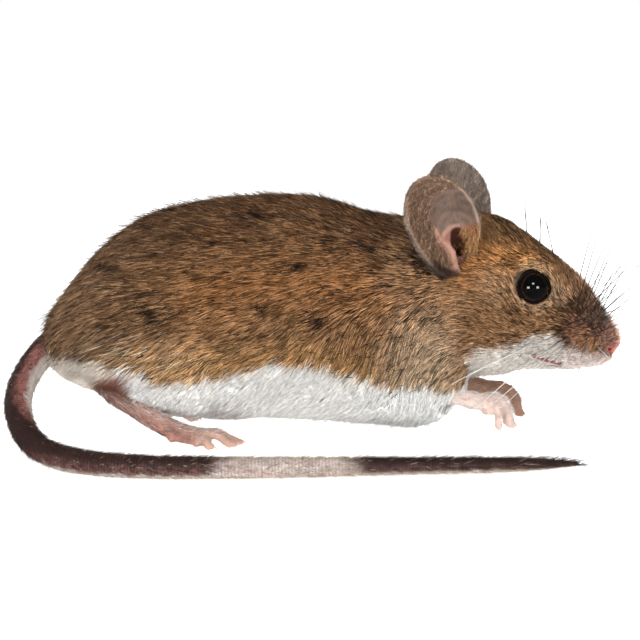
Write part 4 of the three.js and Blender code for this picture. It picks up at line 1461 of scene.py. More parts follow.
def face_skin(tone, p):
    """The skin of the face: dark under the whisker pads, pink on the nose and the lips, black on the lids,
    with painted shade in the nose's middle groove.
    """
    local = head_local(p)
    for sign in SIDES:
        pad = oval_place(local, mirrored(PAD_MIDDLE, sign), PAD_SKIN_SIZE)
        tone = blended(tone, PAD_SKIN_TONE, 0.9 * smoothstep(pad, 1.3, 0.7))
    on_nose = smoothstep(oval_place(local, *NOSE_ZONE), 1.5, 0.8)
    aside = np.abs(local[:, 1])
    front = smoothstep(aside, 2.7, 1.3) * on_nose
    tone = blended(tone, NOSE_TONE, on_nose)
    tone = blended(tone, NOSE_FRONT_TONE, 0.75 * front)
    # Painted shade: the nose's middle groove is painted darker.
    tone = blended(tone, NOSE_FRONT_TONE * 0.55, 0.8 * front * smoothstep(aside, 0.35, 0.1))
    tone = blended(tone, NOSTRIL_TONE, smoothstep(nostril_gap(p), 0.1, 0.0))
    tone = blended(tone, MOUTH_TONE, 0.95 * smoothstep(near_mouth(local, 0.6), 0.3, 0.7))
    for sign in SIDES:
        gap = np.linalg.norm(p - eye_frame(sign)[0], axis=1) - EYE["radius"]
        tone = blended(tone, LID_TONE, smoothstep(gap, *LID_EDGE))
    return tone


def foot_tone(p, sign):
    """Pink, with paler toes and a dark heel behind, and in front a paler near paw and a far paw painted
    darker, as painted shade.
    """
    foot = blended(FOOT_TONE, TOE_TONE, toe_share(p, sign))
    foot = blended(foot, HEEL_TONE, 0.85 * smoothstep(p[:, 2], 5.8, 7.8))
    # The far forepaw gets a darker skin tone, as painted shade.
    foot = np.where(p[:, :1] < 0, foot, PAW_TONE if sign < 0 else FAR_PAW_SHADE_TONE)
    return foot * (1 + 0.14 * waves(p, 1.0, 61))[:, None]


def skin_tone(p):
    """The skin's colour, with the coat's markings under the coat, what each place belongs to, and how far
    along the tail it is."""
    weights, share = part_weights(p)
    tone, brown = markings(p)
    tone = face_skin(tone * (0.9 - 0.3 * brown)[:, None], p)
    total = tone * weights["body"][:, None] + tail_tone(p, share) * weights["tail"][:, None]
    for sign in SIDES:
        foot, ear = foot_tone(p, sign), ear_tone(p, sign)
        total += foot * weights["foot", sign][:, None] + ear * weights["ear", sign][:, None]
    return np.clip(total, *SKIN_LIMITS), weights, share


# ---- Rods: whiskers and claws ----


def rods_mesh(name, lines, radii, sides=4):
    """One mesh of many closed tapering rods. All lines have the same number of points."""
    lines, radii = np.asarray(lines, float), np.asarray(radii, float)
    count, rings = lines.shape[:2]
    along = unit(np.gradient(lines, axis=1))
    up = np.where(np.abs(along[:, :1, 2:]) > 0.9, vec(1, 0, 0), vec(0, 0, 1))
    side = unit(np.cross(along, np.broadcast_to(up, along.shape)))
    top = np.cross(side, along)
    turns = np.arange(sides) * 2 * math.pi / sides
    cos, sin = (values[None, None, :, None] for values in (np.cos(turns), np.sin(turns)))
    ring = cos * side[:, :, None] + sin * top[:, :, None]
    body = lines[:, :, None] + ring * radii[:, :, None, None]
    corners = np.concatenate([body.reshape(count, -1, 3), lines[:, :1], lines[:, -1:]], 1)
    per = corners.shape[1]
    faces = []
    for k in range(rings - 1):
        for a in range(sides):
            b = (a + 1) % sides
            low, high = k * sides, (k + 1) * sides
            faces += [(low + a, low + b, high + a), (low + b, high + b, high + a)]
    for a in range(sides):
        b = (a + 1) % sides
        faces += [(per - 2, b, a), (per - 1, (rings - 1) * sides + a, (rings - 1) * sides + b)]
    piece = new_mesh(name, corners.reshape(-1, 3), repeated(faces, count, per))
    share = np.concatenate([np.repeat(np.linspace(0, 1, rings), sides), [0, 1]])
    set_attribute(piece.data, "along", np.tile(share, count))
    return piece


# ---- Materials ----


class Nodes:
    """A material's node tree, with short ways to add and join nodes."""

    def __init__(self, name):
        self.material = bpy.data.materials.new(name)
        self.material.use_nodes = True
        self.tree = self.material.node_tree
        self.shader = self.tree.nodes["Principled BSDF"]

    def put(self, socket, value):
        """Sets a socket to a value, or links another socket to it."""
        if isinstance(value, bpy.types.NodeSocket):
            self.tree.links.new(value, socket)
        else:
            socket.default_value = value

    def add(self, kind, inputs=(), **settings):
        made = self.tree.nodes.new(kind)
        for key, value in settings.items():
            setattr(made, key, value)
        for key, value in dict(inputs).items():
            self.put(made.inputs[key], value)
        return made

    def attribute(self, name, output="Fac"):
        return self.add("ShaderNodeAttribute", attribute_name=name).outputs[output]

    def noise(self, scale, detail=3.0):
        where = self.add("ShaderNodeTexCoord").outputs["Object"]
        made = self.add("ShaderNodeTexNoise", {"Vector": where, "Scale": scale, "Detail": detail})
        return made.outputs["Fac"]

    def ramp(self, value, stops):
        made = self.add("ShaderNodeValToRGB", {"Fac": value})
        elements = made.color_ramp.elements
        while len(elements) < len(stops):
            elements.new(0.5)
        for element, (at, color) in zip(elements, stops):
            element.position = at
            element.color = (*color, 1)
        return made.outputs["Color"]

    def greys(self, value, *stops):
        return self.ramp(value, [(at, (grey,) * 3) for at, grey in stops])

    def mix(self, a, b, share=1.0, how="MULTIPLY"):
        made = self.add("ShaderNodeMix", data_type="RGBA", blend_type=how)
        for key, value in (("Factor", share), ("A", a), ("B", b)):
            self.put(next(s for s in made.inputs if s.name == key and s.enabled), value)
        return next(s for s in made.outputs if s.enabled)

    def grained(self, color, scale, detail, *stops):
        """A colour made lighter and darker by fine noise."""
        return self.mix(color, self.greys(self.noise(scale, detail), *stops))

    def math(self, how, a, b=0.0, c=0.0):
        return self.add("ShaderNodeMath", {0: a, 1: b, 2: c}, operation=how).outputs[0]

    def bump(self, height, distance):
        made = self.add("ShaderNodeBump", {"Height": height, "Distance": distance})
        self.put(self.shader.inputs["Normal"], made.outputs["Normal"])

    def finish(self, **values):
        for key, value in values.items():
            self.put(self.shader.inputs[key.replace("_", " ")], value)
        return self.material


HAIR_GRAIN = (2200.0, 2.0, (0.35, 0.86), (0.65, 1.1))


def coat_material():
    """The coat's hairs: brown ones with a grey root, a clear band and a dark tip, and plain white ones."""
    n = Nodes("coat_hair")
    along = n.attribute("along")
    agouti = n.greys(along, (0.0, 0.25), (0.42, 0.62), (0.62, 1.1), (0.84, 1.12), (1.0, 0.6))
    plain = n.greys(along, (0.0, 0.7), (0.5, 0.97), (1.0, 1.0))
    rings = n.mix(plain, agouti, n.attribute("banding"), "MIX")
    color = n.grained(n.mix(n.attribute("tint", "Color"), rings), *HAIR_GRAIN)
    return n.finish(Base_Color=color, Roughness=0.46, Specular_IOR_Level=0.3)


def short_hair_material():
    n = Nodes("short_hair")
    rings = n.greys(n.attribute("along"), (0.0, 0.75), (0.6, 1.05), (1.0, 0.9))
    color = n.grained(n.mix(n.attribute("tint", "Color"), rings), *HAIR_GRAIN)
    return n.finish(Base_Color=color, Roughness=0.45, Specular_IOR_Level=0.35)


TAIL_RING = 0.45
WRINKLE_DEPTH = 0.00006
SKIN_GLOW = {"Subsurface Radius": (1.0, 0.35, 0.22), "Subsurface Scale": 0.0006, "Subsurface Weight": 0.2}


def skin_material():
    """Bare skin: mottled, finely wrinkled, and ringed with small scales on the tail."""
    n = Nodes("bare_skin")
    color = n.grained(n.attribute("tint", "Color"), 900.0, 4.0, (0.3, 0.84), (0.7, 1.1))
    turns = TAIL_LENGTH / TAIL_RING * 2 * math.pi
    ring = n.math("SINE", n.math("MULTIPLY", n.attribute("tail_share"), turns))
    ring = n.math("MULTIPLY", ring, n.attribute("tail_weight"))
    ring_shade = n.greys(n.math("MULTIPLY_ADD", ring, 0.5, 0.5), (0.0, 0.8), (0.5, 1.0), (1.0, 1.08))
    wrinkle = n.math("MULTIPLY", n.noise(5200.0), 0.8)
    n.bump(n.math("MULTIPLY_ADD", ring, 0.5, wrinkle), WRINKLE_DEPTH)
    rough = n.math("MULTIPLY_ADD", n.noise(1500.0), 0.2, 0.38)
    gloss = n.math("MULTIPLY_ADD", n.attribute("matt"), -0.37, 0.4)
    for name, value in SKIN_GLOW.items():
        n.put(n.shader.inputs[name], value)
    return n.finish(Base_Color=n.mix(color, ring_shade), Roughness=rough, Specular_IOR_Level=gloss)


def eye_material():
    """A nearly black eye: a dark brown iris round a black pupil, under a wet cornea."""
    n = Nodes("eye")
    black, brown = (0.0015, 0.0015, 0.0015), (0.010, 0.0045, 0.0025)
    stops = ((0.0, black), (0.42, black), (0.5, brown), (0.62, black), (1.0, black))
    color = n.grained(n.ramp(n.attribute("ring"), stops), 1600.0, 2.0, (0.35, 0.7), (0.7, 1.3))
    return n.finish(Base_Color=color, Roughness=0.03, IOR=1.5)


def claw_material():
    n = Nodes("claw")
    stops = ((0.0, (0.62, 0.42, 0.34)), (0.5, (0.66, 0.54, 0.45)), (1.0, (0.55, 0.47, 0.38)))
    color = n.grained(n.ramp(n.attribute("along"), stops), 5000.0, 3.0, (0.3, 0.85), (0.7, 1.1))
    return n.finish(Base_Color=color, Roughness=0.3)


def whisker_material():
    """Whiskers that pale towards their ends, the lower ones and the short ones under the chin more so."""
    n = Nodes("whisker")
    along = n.attribute("along")
    dark = n.greys(along, (0.0, 0.012), (0.3, 0.03), (1.0, 0.11))
    light = n.greys(along, (0.0, 0.05), (0.3, 0.45), (0.6, 0.85), (1.0, 0.9))
    tone = n.mix(dark, light, n.attribute("pale"), "MIX")
    color = n.grained(tone, 700.0, 3.0, (0.3, 0.8), (0.7, 1.15))
    return n.finish(Base_Color=color, Roughness=0.55, Specular_IOR_Level=0.12)


# ---- The skin, dressed ----


def placed(piece, material):
    """A piece with its one material and its slot, fixed to the model's root."""
    piece.data.materials.clear()
    piece.data.materials.append(material)
    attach(piece, "root")
    return piece


skin = make_skin()
skin_surface = surface_of(skin)
tones, weights, tail_at = skin_tone(skin_surface["vertices"])
set_tint(skin.data, tones)
set_attribute(skin.data, "tail_share", tail_at)
set_attribute(skin.data, "tail_weight", weights["tail"])
# The black lids don't shine.
set_attribute(skin.data, "matt", smoothstep(tones[:, 0], 0.02, 0.01))
placed(skin, skin_material())
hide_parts(*[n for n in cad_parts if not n.endswith("_eye")])

# ---- The coat ----

coat_hair = coat_material()
centres = skin_surface["centres"]
cover = body_weights(centres)
on_trunk = 1 - share_of_head(centres)
ahead_here = head_local(centres)[:, 0]
x, z = centres[:, 0], centres[:, 2]
# Where one piece of the coat ends and the next begins: along x, high on the sides, and ahead on the head.
RUMP_END, LOIN_END, SIDE_END = -29, -12, 3
SIDE_LOW, CHEST_LOW = 11, 7
CROWN_END = 3
HAIRS = 29350
below = (x >= RUMP_END) * (x < SIDE_END) * (z < SIDE_LOW) + (x >= SIDE_END) * (z < CHEST_LOW)
TRUNK_PIECES = {
    "coat_rump": (x < RUMP_END, 0.15),
    "coat_loin": ((x >= RUMP_END) * (x < LOIN_END) * (z >= SIDE_LOW), 0.15),
    "coat_side": ((x >= LOIN_END) * (x < SIDE_END) * (z >= SIDE_LOW), 0.15),
    "coat_shoulder": ((x >= SIDE_END) * (z >= CHEST_LOW), 0.14),
    "coat_belly": (below, 0.19),
}
HEAD_PIECES = {
    "coat_head": (ahead_here < CROWN_END, 0.12),
    "coat_face": (ahead_here >= CROWN_END, 0.085),
}
for name, (region, width) in TRUNK_PIECES.items():
    placed(grow_coat(name, cover * on_trunk * region, HAIRS, trunk_spot, width, 0.14), coat_hair)
for name, (region, width) in HEAD_PIECES.items():
    placed(grow_coat(name, cover * (1 - on_trunk) * region, HAIRS, head_spot, width, 0.24), coat_hair)

# ---- Short hairs on the ears, tail and feet ----

short_hair = short_hair_material()
part_here, _ = part_weights(centres)
FEW = 1.0
SHORT_ROOT = 0.05


def short_coat(name, weight, count, direction, spot, tone, length, width, rise,
               stray=0.28, spread=0.25, lift=0.0):
    """A piece of short straight hairs. direction, spot, tone and length are functions of the roots' places.
    rise is how steeply the hairs leave the skin. stray and spread are how far their directions and colours
    vary. lift is the share of the coat's depth at which the hairs come out of the hairs under them."""
    count = int(count * FEW)
    p, normal = scatter(skin_surface, weight, count)
    lie = turned(flattened(direction(p), normal), normal, rng.normal(0, stray, count))
    long = length(p) * rng.uniform(0.65, 1.2, count)
    way = unit(lie + normal * (rise * rng.uniform(0.4, 1.6, count))[:, None])
    start = p + normal * (lift * coat_depth(p) - SHORT_ROOT)[:, None]
    points = np.stack([start, start + way * long[:, None]], 1)
    tint = np.clip(tone(p) * np.exp(rng.normal(0, spread, count))[:, None], *TONE_LIMITS)
    piece = tuft_mesh(name, points, unit(np.cross(lie, normal)), normal, np.full(count, width), tint, spot(p))
    return placed(piece, short_hair)


def evenly(value):
    """A function that gives the same number or vector at every place."""
    return lambda p: np.zeros((len(p), *np.shape(value))) + value


# Long hairs that overtop the coat stand along the back, over the thighs and at the end of the rump.
GUARD_DARK = vec(0.075, 0.045, 0.028)
GUARD_PALE = vec(0.620, 0.500, 0.370)
PALE_THIGH = ((29, 12, 12), (9, 6, 6))
RUMP_END_TUFT = ((-42, 0, 19), (5, 9, 6))
GUARD_WAY = vec(-1.0, 0.0, -0.4)
GUARD_LENGTH = 5.0


def over_the_thighs(p):
    return around(np.abs(p), *PALE_THIGH) * (p[:, 0] < 0)


def guard_hair_tone(p):
    """Dark along the back, and pale over the thighs."""
    return blended(GUARD_DARK, GUARD_PALE, over_the_thighs(p) * (rng.random(len(p)) < 0.85))


upper = smoothstep(z - border_height(centres), 1, 5) * on_trunk
upper *= 0.15 + smoothstep(z, 24, 33) + 0.8 * over_the_thighs(centres)
upper += 1.2 * around(centres, *RUMP_END_TUFT)
short_coat("guard_hairs", cover * upper, 2600, evenly(GUARD_WAY), trunk_spot, guard_hair_tone,
           evenly(GUARD_LENGTH), width=0.12, rise=0.5, stray=0.2, spread=0.5, lift=0.5)

TICK_TONE = vec(0.014, 0.009, 0.006)
TICK_DROOP = vec(0, 0, 0.35)


def tick_places(p):
    """Where black hairs show: in small broken clumps in the partings and in the dark places, with painted
    shade behind the ears, and thinly all over.
    """
    off_muzzle = 1 - 0.8 * smoothstep(head_local(p)[:, 0], 12, 14.5)
    gaps = partings(p, 1.0, 1.35) + 0.7 * dark_fur_and_shade(p) * off_muzzle
    return 0.02 + 0.6 * gaps * smoothstep(waves(p, 0.8, 97), 0.0, 0.7)


_, brown_here = markings(centres)
short_coat("black_ticks", cover * brown_here * tick_places(centres), 2600,
           lambda p: unit(p - NOSE_TIP) - TICK_DROOP, trunk_spot, evenly(TICK_TONE),
           lambda p: 2.4 - 1.2 * share_of_head(p),
           width=0.12, rise=0.13, stray=0.3, spread=0.3, lift=0.9)


def own_ear(p):
    """Each point's place on the ear of its own side, forward along the curl, and whether it is the right."""
    right = head_local(p)[:, 1] < 0
    local = np.where(right[:, None], ear_local(p, -1), ear_local(p, 1) * (1, -1, 1))
    return local, right


# The size of an ear's unwrap: its half width and its height.
EAR_HALF, EAR_REACH = 9, 19


def ear_spot(p):
    """A place on an unwrap of both ears: each is laid flat, hollow side and back."""
    local, right = own_ear(p)
    start = np.where(right, 0, 0.5) + np.where(local[:, 2] > 0, 0, 0.25)
    across = np.clip((local[:, 1] + EAR_HALF) / (2 * EAR_HALF), 0, 1)
    return np.stack([start + 0.24 * across, np.clip(local[:, 0] / EAR_REACH, 0, 1)], 1)


def ear_way(p, up, forward, out=0.0):
    """A direction given by the ear's own axes at each point."""
    _, right = own_ear(p)
    ways = []
    for sign in (-1, 1):
        _, axis, mouth, across = ear_frame(sign)
        ways.append(axis * up[:, None] + across * (forward * -sign)[:, None] + mouth * out)
    return np.where(right[:, None], ways[0], ways[1])


def up_the_ear(p):
    local, _ = own_ear(p)
    return ear_way(p, np.ones(len(p)), local[:, 1] / 7)


def ear_hair_tone(p, tone, size, seed):
    """Mottled hairs, darker at the back of the ear's root."""
    local, _ = own_ear(p)
    shade = 1 - 0.8 * ear_root_shade(local, local[:, 1])
    return tone * (np.exp(0.5 * waves(p, size, seed)) * shade)[:, None]


local_here, _ = own_ear(centres)
up_here, forward_here, _ = local_here.T
bowl_here = bowl_place(local_here, -1)
hollow_here = ear_side(local_here)
canal_here = np.minimum(canals[-1](centres), canals[1](centres))
on_ear = part_here["ear", -1] + part_here["ear", 1]
EAR_DOWN_TONE = vec(0.280, 0.162, 0.096)
EAR_BACK_HAIR = vec(0.218, 0.166, 0.128)
EAR_FRINGE_TONE = vec(0.420, 0.215, 0.090)

down = on_ear * hollow_here * smoothstep(bowl_here, 0.98, 1.12) * smoothstep(canal_here, 0.2, 0.8)
down *= 1 - smoothstep(forward_here, -1.2, -0.4) * smoothstep(up_here, 9.4, 8.4)
down *= 1 - 0.92 * smoothstep(forward_here, 2.0, 4.0) * smoothstep(up_here, 12.0, 9.0)
short_coat("ear_down", down, 14000, up_the_ear, ear_spot, lambda p: ear_hair_tone(p, EAR_DOWN_TONE, 0.6, 71),
           evenly(0.55), width=0.075, rise=0.75, stray=0.8, spread=0.55)


def by_height(*scale):
    """A length read off a scale of heights up the ear."""
    return lambda p: np.interp(own_ear(p)[0][:, 0], *scale)


back_here = on_ear * (1 - hollow_here) * smoothstep(canal_here, 0.6, 1.2)
short_coat("ear_back_hair", back_here, 14000, up_the_ear, ear_spot,
           lambda p: ear_hair_tone(p, EAR_BACK_HAIR, 1.0, 72),
           by_height((4, 10, 18), (1.8, 1.2, 0.75)), width=0.085, rise=0.2, spread=0.5)


def over_the_canal(p):
    return ear_way(p, np.full(len(p), -0.35), np.full(len(p), -1.0), 0.6)


fringe = on_ear * hollow_here * smoothstep(forward_here, 3.0, 3.6)
fringe = fringe * smoothstep(up_here, 1.0, 2.5) * smoothstep(up_here, 8.4, 7.4)
short_coat("ear_fringe", fringe, 700, over_the_canal, ear_spot, evenly(EAR_FRINGE_TONE),
           by_height((2, 8), (2.7, 1.8)), width=0.085, rise=0.5, stray=0.35, spread=0.5)


def up_from_the_head(p):
    """Up and back over the front of the ears' roots, where the head's hair climbs on to them."""
    right = head_local(p)[:, 1] < 0
    return np.where(right[:, None], head_direction(-0.5, -0.25, 1.0), head_direction(-0.35, 0.2, 1.0))


EAR_ROOT_HAIR = (((0.6, -5.2, 28.0), (2.0, 2.0, 2.6)), ((1.0, 4.0, 30.6), (2.4, 2.2, 2.4)))
EAR_ROOT_HAIR_TONE = vec(0.24, 0.125, 0.055)
by_the_ears = np.max([around(centres, head_point(*at), size) for at, size in EAR_ROOT_HAIR], axis=0)
short_coat("ear_root_hair", cover * by_the_ears, 2500, up_from_the_head, head_spot,
           evenly(EAR_ROOT_HAIR_TONE), evenly(3.0), width=0.09, rise=0.35, spread=0.5)


def tail_spot(p):
    """A place on an unwrap of the tail: along it, and round it."""
    _, share = tail_place(p)
    centre, _, back, side = tail_frame(share)
    out = p - centre
    turn = np.arctan2((out * side).sum(1), (out * back).sum(1)) / (2 * math.pi) + 0.5
    return np.stack([share, turn], 1)


TAIL_HAIR_PALE = vec(0.465, 0.390, 0.300)
TAIL_HAIR_DARK = vec(0.038, 0.021, 0.015)
# The hairs grow longer towards the tail's end.
TAIL_HAIR_LENGTH = ((0, 0.3, 0.9, 1.0), (0.9, 1.15, 1.6, 3.0))


def tail_hair_tone(p):
    """Dark hairs on the tail's back, and cream ones beneath, on the pale stretch and at its tip."""
    _, share = tail_place(p)
    dark = smoothstep(tail_height(p, share), -0.8, -0.5) * (rng.random(len(p)) < 0.95)
    pale = smoothstep(share, *TAIL_PALE_START) * smoothstep(share, *TAIL_PALE_END[::-1])
    dark = np.maximum(dark, 0.5 * smoothstep(share, 0.97, 1.0)) * (1 - 0.93 * pale)
    return blended(TAIL_HAIR_PALE, TAIL_HAIR_DARK, dark)


def down_the_tail(p):
    _, share = tail_place(p)
    return tail_frame(share)[1]


def tail_hair_length(p):
    _, share = tail_place(p)
    return np.interp(share, *TAIL_HAIR_LENGTH)


off_floor = z > 0.12
short_coat("tail_hair", part_here["tail"] * off_floor, 16000, down_the_tail, tail_spot,
           tail_hair_tone, tail_hair_length, width=0.075, rise=0.5)


def limb_spot(p):
    """A place on an unwrap of the four feet, each round its own length."""
    x, y, z = p.T
    hind = x < 0
    right = y < np.where(hind, 0, -1)
    paws = [FORELEGS[sign]["knuckle"][1] for sign in (-1, 1)]
    middle = np.where(hind, np.where(right, -1, 1) * FOOT_HALF_GAUGE, np.where(right, *paws))
    turn = np.arctan2(y - middle, z - 2.5) / (2 * math.pi) + 0.5
    run = np.where(hind, (x + 40) / 28, (x - 15) / 20)
    return np.stack([0.5 * right + 0.25 * hind + 0.24 * turn, np.clip(run, 0, 1)], 1)


def down_the_foot(p):
    """Hairs lie down the leg and forward over the foot."""
    x, _, z = p.T
    steep = smoothstep(z, 3, 8) * np.where(x < 0, 0.75, 0.4)
    return np.stack([np.ones(len(p)), 0 * steep, -steep - 0.1], 1)


def outer_edge(p):
    """How far each place of a foot lies towards its heel and its lower outer edge."""
    x, _, z = p.T
    hind = x < 0
    line = np.interp(x, (-33, -29, -25, -21), (8.5, 6.6, 4.2, 2.6))
    edge = smoothstep(z - line, 0.5, -0.5) * smoothstep(x, -20.5, -23)
    return np.maximum(edge, smoothstep(z, 7.2, 8.6)) * hind


# The near forepaw's hairs are painted lighter and the far one's darker: painted light and shade.
NEAR_PAW_LIGHT_GAIN = 1.25
FAR_PAW_HAIR_SHADE = vec(0.55, 0.42, 0.34)
FOOT_HAIR_WHITE = vec(0.700, 0.610, 0.560)
FOOT_HAIR_DARK = vec(0.075, 0.038, 0.024)
# The hairs' length at rising heights above the floor.
FOOT_HAIR_LENGTH = ((0.5, 1.5, 3, 9), (0.35, 0.7, 1.1, 1.5))


def foot_hair_tone(p):
    """White hairs, painted lighter on the near forepaw and darker on the far one as painted light and shade,
    and dark ones along the hind foot's outer edge.
    """
    white = FOOT_HAIR_WHITE * np.exp(0.3 * waves(p, 0.9, 73))[:, None]
    in_front, far = p[:, 0] > 0, p[:, 1] > -1
    white = white * np.where(in_front & ~far, NEAR_PAW_LIGHT_GAIN, 1.0)[:, None]
    white = np.where((in_front & far)[:, None], white * FAR_PAW_HAIR_SHADE, white)
    return blended(white, FOOT_HAIR_DARK, 0.9 * outer_edge(p) * (rng.random(len(p)) < 0.85))


on_foot = (part_here["foot", -1] + part_here["foot", 1]) * smoothstep(z, 0.25, 0.6)
short_coat("foot_hair", on_foot, 13000, down_the_foot, limb_spot, foot_hair_tone,
           lambda p: np.interp(p[:, 2], *FOOT_HAIR_LENGTH), width=0.07, rise=0.22)

# ---- Eyes ----

CORNEA_RISE = 0.10
CORNEA_ANGLE = 0.7
EYE_ROWS, EYE_COLUMNS = 40, 56


def make_eye(sign):
    """An eyeball turned out of the head, with a slightly raised cornea; "ring" grows from its pupil."""
    centre, out, ahead, up = eye_frame(sign)
    angle = math.pi * np.arange(EYE_ROWS + 1) / EYE_ROWS
    turn = 2 * math.pi * np.arange(EYE_COLUMNS) / EYE_COLUMNS
    radius = EYE["radius"] + CORNEA_RISE * np.exp(-((angle / CORNEA_ANGLE) ** 2))
    round_it = np.cos(turn)[:, None] * ahead + np.sin(turn)[:, None] * up
    way = np.cos(angle)[:, None, None] * out + np.sin(angle)[:, None, None] * round_it[None]
    grid = centre + way * radius[:, None, None]
    points = np.concatenate([grid[0, :1], grid[1:-1].reshape(-1, 3), grid[-1, :1]])
    ring = np.minimum(angle / (math.pi / 2), 1)
    ring = np.concatenate([ring[:1], np.repeat(ring[1:-1], EYE_COLUMNS), ring[-1:]])
    last, faces = len(points) - 1, []
    for j in range(EYE_COLUMNS):
        k = (j + 1) % EYE_COLUMNS
        faces += [(0, 1 + j, 1 + k), (last, last - EYE_COLUMNS + k, last - EYE_COLUMNS + j)]
        for row in range(1, 1 + (EYE_ROWS - 2) * EYE_COLUMNS, EYE_COLUMNS):
            a, b = row + j, row + k
            faces += [(a, a + EYE_COLUMNS, b), (b, a + EYE_COLUMNS, b + EYE_COLUMNS)]
    faces = np.array(faces)
    piece = new_mesh(SIDES[sign] + "_eyeball", points, faces if sign > 0 else faces[:, ::-1])
    set_attribute(piece.data, "ring", ring)
    placed(piece, eye_black)
    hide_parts(SIDES[sign] + "_eye")


eye_black = eye_material()
for sign in SIDES:
    make_eye(sign)

# ---- Claws ----

# Each claw's length and radius. The inner fore digit has no claw.
HIND_CLAW = (1.25, 0.19)
FORE_CLAW = (0.95, 0.15)
CLAW_TAPER = np.array([1, 1, 0.85, 0.65, 0.42, 0.12])
CLAW_ROOT = 0.25
CLAW_BEND = 0.32
CLAW_LIFT = 0.12
LOWEST_CLAW = 0.13


def claw_line(points, length):
    """A claw's curve out of the end of a digit, bending down to the floor."""
    way = unit(unit(points[-1] - points[-3]) * (1, 1, 0.25))
    share = np.linspace(0, 1, len(CLAW_TAPER))[:, None]
    line = points[-1] - way * CLAW_ROOT + vec(0, 0, CLAW_LIFT) + way * length * share
    line[:, 2] -= CLAW_BEND * length * share[:, 0] ** 2
    line[:, 2] = np.maximum(line[:, 2], LOWEST_CLAW)
    return line


claw_lines, claw_radii = [], []
for sign in SIDES:
    for toes, (length, radius) in ((hind_digits[sign], HIND_CLAW), (fore_digits[sign][1:], FORE_CLAW)):
        for points, _ in toes:
            claw_lines.append(claw_line(points, length))
            claw_radii.append(radius * CLAW_TAPER)
placed(rods_mesh("claws", claw_lines, claw_radii, sides=8), claw_material())

# ---- Whiskers ----

WHISKER_RINGS = 12
WHISKER_TAPER = 1 - 0.66 * np.linspace(0, 1, WHISKER_RINGS) ** 1.4
# Each row's lift in degrees, its sweep forward and how that falls from front to back, its shortest and its
# longest whisker, and its count.
WHISKER_ROWS = ((74, 0.5, 0.08, 14, 19, 4), (52, 0.8, 0.06, 12, 16, 4), (27, 0.95, 0.08, 9, 13, 5),
                (-24, 0.45, 0.36, 7, 19, 5), (-46, 0.1, 0.3, 6, 16, 5))
# The front whisker of the top row, ahead and high, and the steps from column to column and from row to row.
FRONT_WHISKER = (16.8, 17.0)
COLUMN_STEP = (-1.1, 0.4)
ROW_STEP = (-0.2, -1.1)
# How far aside the pad's surface lies, along the head.
PAD_SURFACE = ((11, 15, 17.5), (4.9, 4.1, 2.6))
FAN_DEGREES = 8
WHISKER_ASIDE = 0.62
LOW_ROWS_PALE = 0.75
# The radius of the front whiskers, and how much thicker each next column is.
WHISKER_RADIUS = (0.078, 0.004)
# Each brow hair's root ahead, aside and high, its sweep forward and its length.
BROW_HAIRS = ((6.5, 1.6, 28.6, -0.08, 9.0), (8.3, 1.5, 27.3, 0.03, 9.6), (10.8, 1.4, 25.2, -0.22, 9.8))
BROW_RADIUS = 0.072
BROW_PALE = 0.05
# Each short hair under the chin: its root ahead, its sweep forward and its length.
CHIN_HAIRS = ((10.8, -0.55, 3.2), (11.9, -0.5, 3.0), (12.6, -0.4, 2.6), (13.6, -0.3, 1.8), (14.5, -0.3, 2.0))
CHIN_ROOT = (1.3, 9.4)
CHIN_RADIUS = 0.052
CHIN_PALE = 0.3


def whisker(start, way, length, droop, bend):
    """A whisker that starts straight and bends over evenly, as a line of points."""
    way = unit(way)
    level = unit(np.cross(way, vec(0, 0, 1)))
    share = np.linspace(0, 1, WHISKER_RINGS)[:, None]
    line = start + way * length * share + (vec(0, 0, -droop) + level * bend) * length * share**2
    line[:, 2] = np.maximum(line[:, 2], 2 * LOWEST_HAIR)
    return line


def pad_whiskers(sign, draw):
    """Rows of whiskers that fan from one pad, short in front and long behind: lines, radii, paleness."""
    for row, (lift, sweep, fall, shortest, longest, columns) in enumerate(WHISKER_ROWS):
        for column in range(columns):
            ahead, high = (FRONT_WHISKER[k] + COLUMN_STEP[k] * column + ROW_STEP[k] * row for k in (0, 1))
            start = head_place((ahead, np.interp(ahead, *PAD_SURFACE), high), sign)
            angle = math.radians(lift + draw.uniform(-FAN_DEGREES, FAN_DEGREES))
            aside = WHISKER_ASIDE * math.cos(angle) * sign
            way = head_direction(sweep - fall * column, aside, math.sin(angle))
            length = (shortest + (longest - shortest) * column / (columns - 1)) * draw.uniform(0.88, 1.1)
            line = whisker(start, way, length, draw.uniform(-0.06, 0.12), draw.uniform(-0.1, 0.1))
            yield line, WHISKER_RADIUS[0] + WHISKER_RADIUS[1] * column, LOW_ROWS_PALE * (lift < 0)


def brow_and_chin_hairs(sign):
    """The long hairs over one eye and the short ones under the chin."""
    for ahead, aside, high, sweep, length in BROW_HAIRS:
        start = head_place((ahead, aside, high), sign)
        way = head_direction(sweep, 0.12 * sign, 1.0)
        yield whisker(start, way, length, -0.02, 0.05), BROW_RADIUS, BROW_PALE
    for ahead, sweep, length in CHIN_HAIRS:
        start = head_place((ahead, *CHIN_ROOT), sign)
        way = head_direction(sweep, 0.35 * sign, -1.0)
        yield whisker(start, way, length, 0.02, 0.03), CHIN_RADIUS, CHIN_PALE


whisker_draw = np.random.default_rng(77)
whisker_set = []
for sign in SIDES:
    whisker_set += [*pad_whiskers(sign, whisker_draw), *brow_and_chin_hairs(sign)]
whisker_lines, whisker_sizes, whisker_pale = zip(*whisker_set)
whisker_radii = np.array(whisker_sizes)[:, None] * WHISKER_TAPER
whiskers = placed(rods_mesh("whiskers", whisker_lines, whisker_radii), whisker_material())
corners_each = len(whiskers.data.vertices) // len(whisker_pale)
set_attribute(whiskers.data, "pale", np.repeat(whisker_pale, corners_each))

# ---- Camera ----

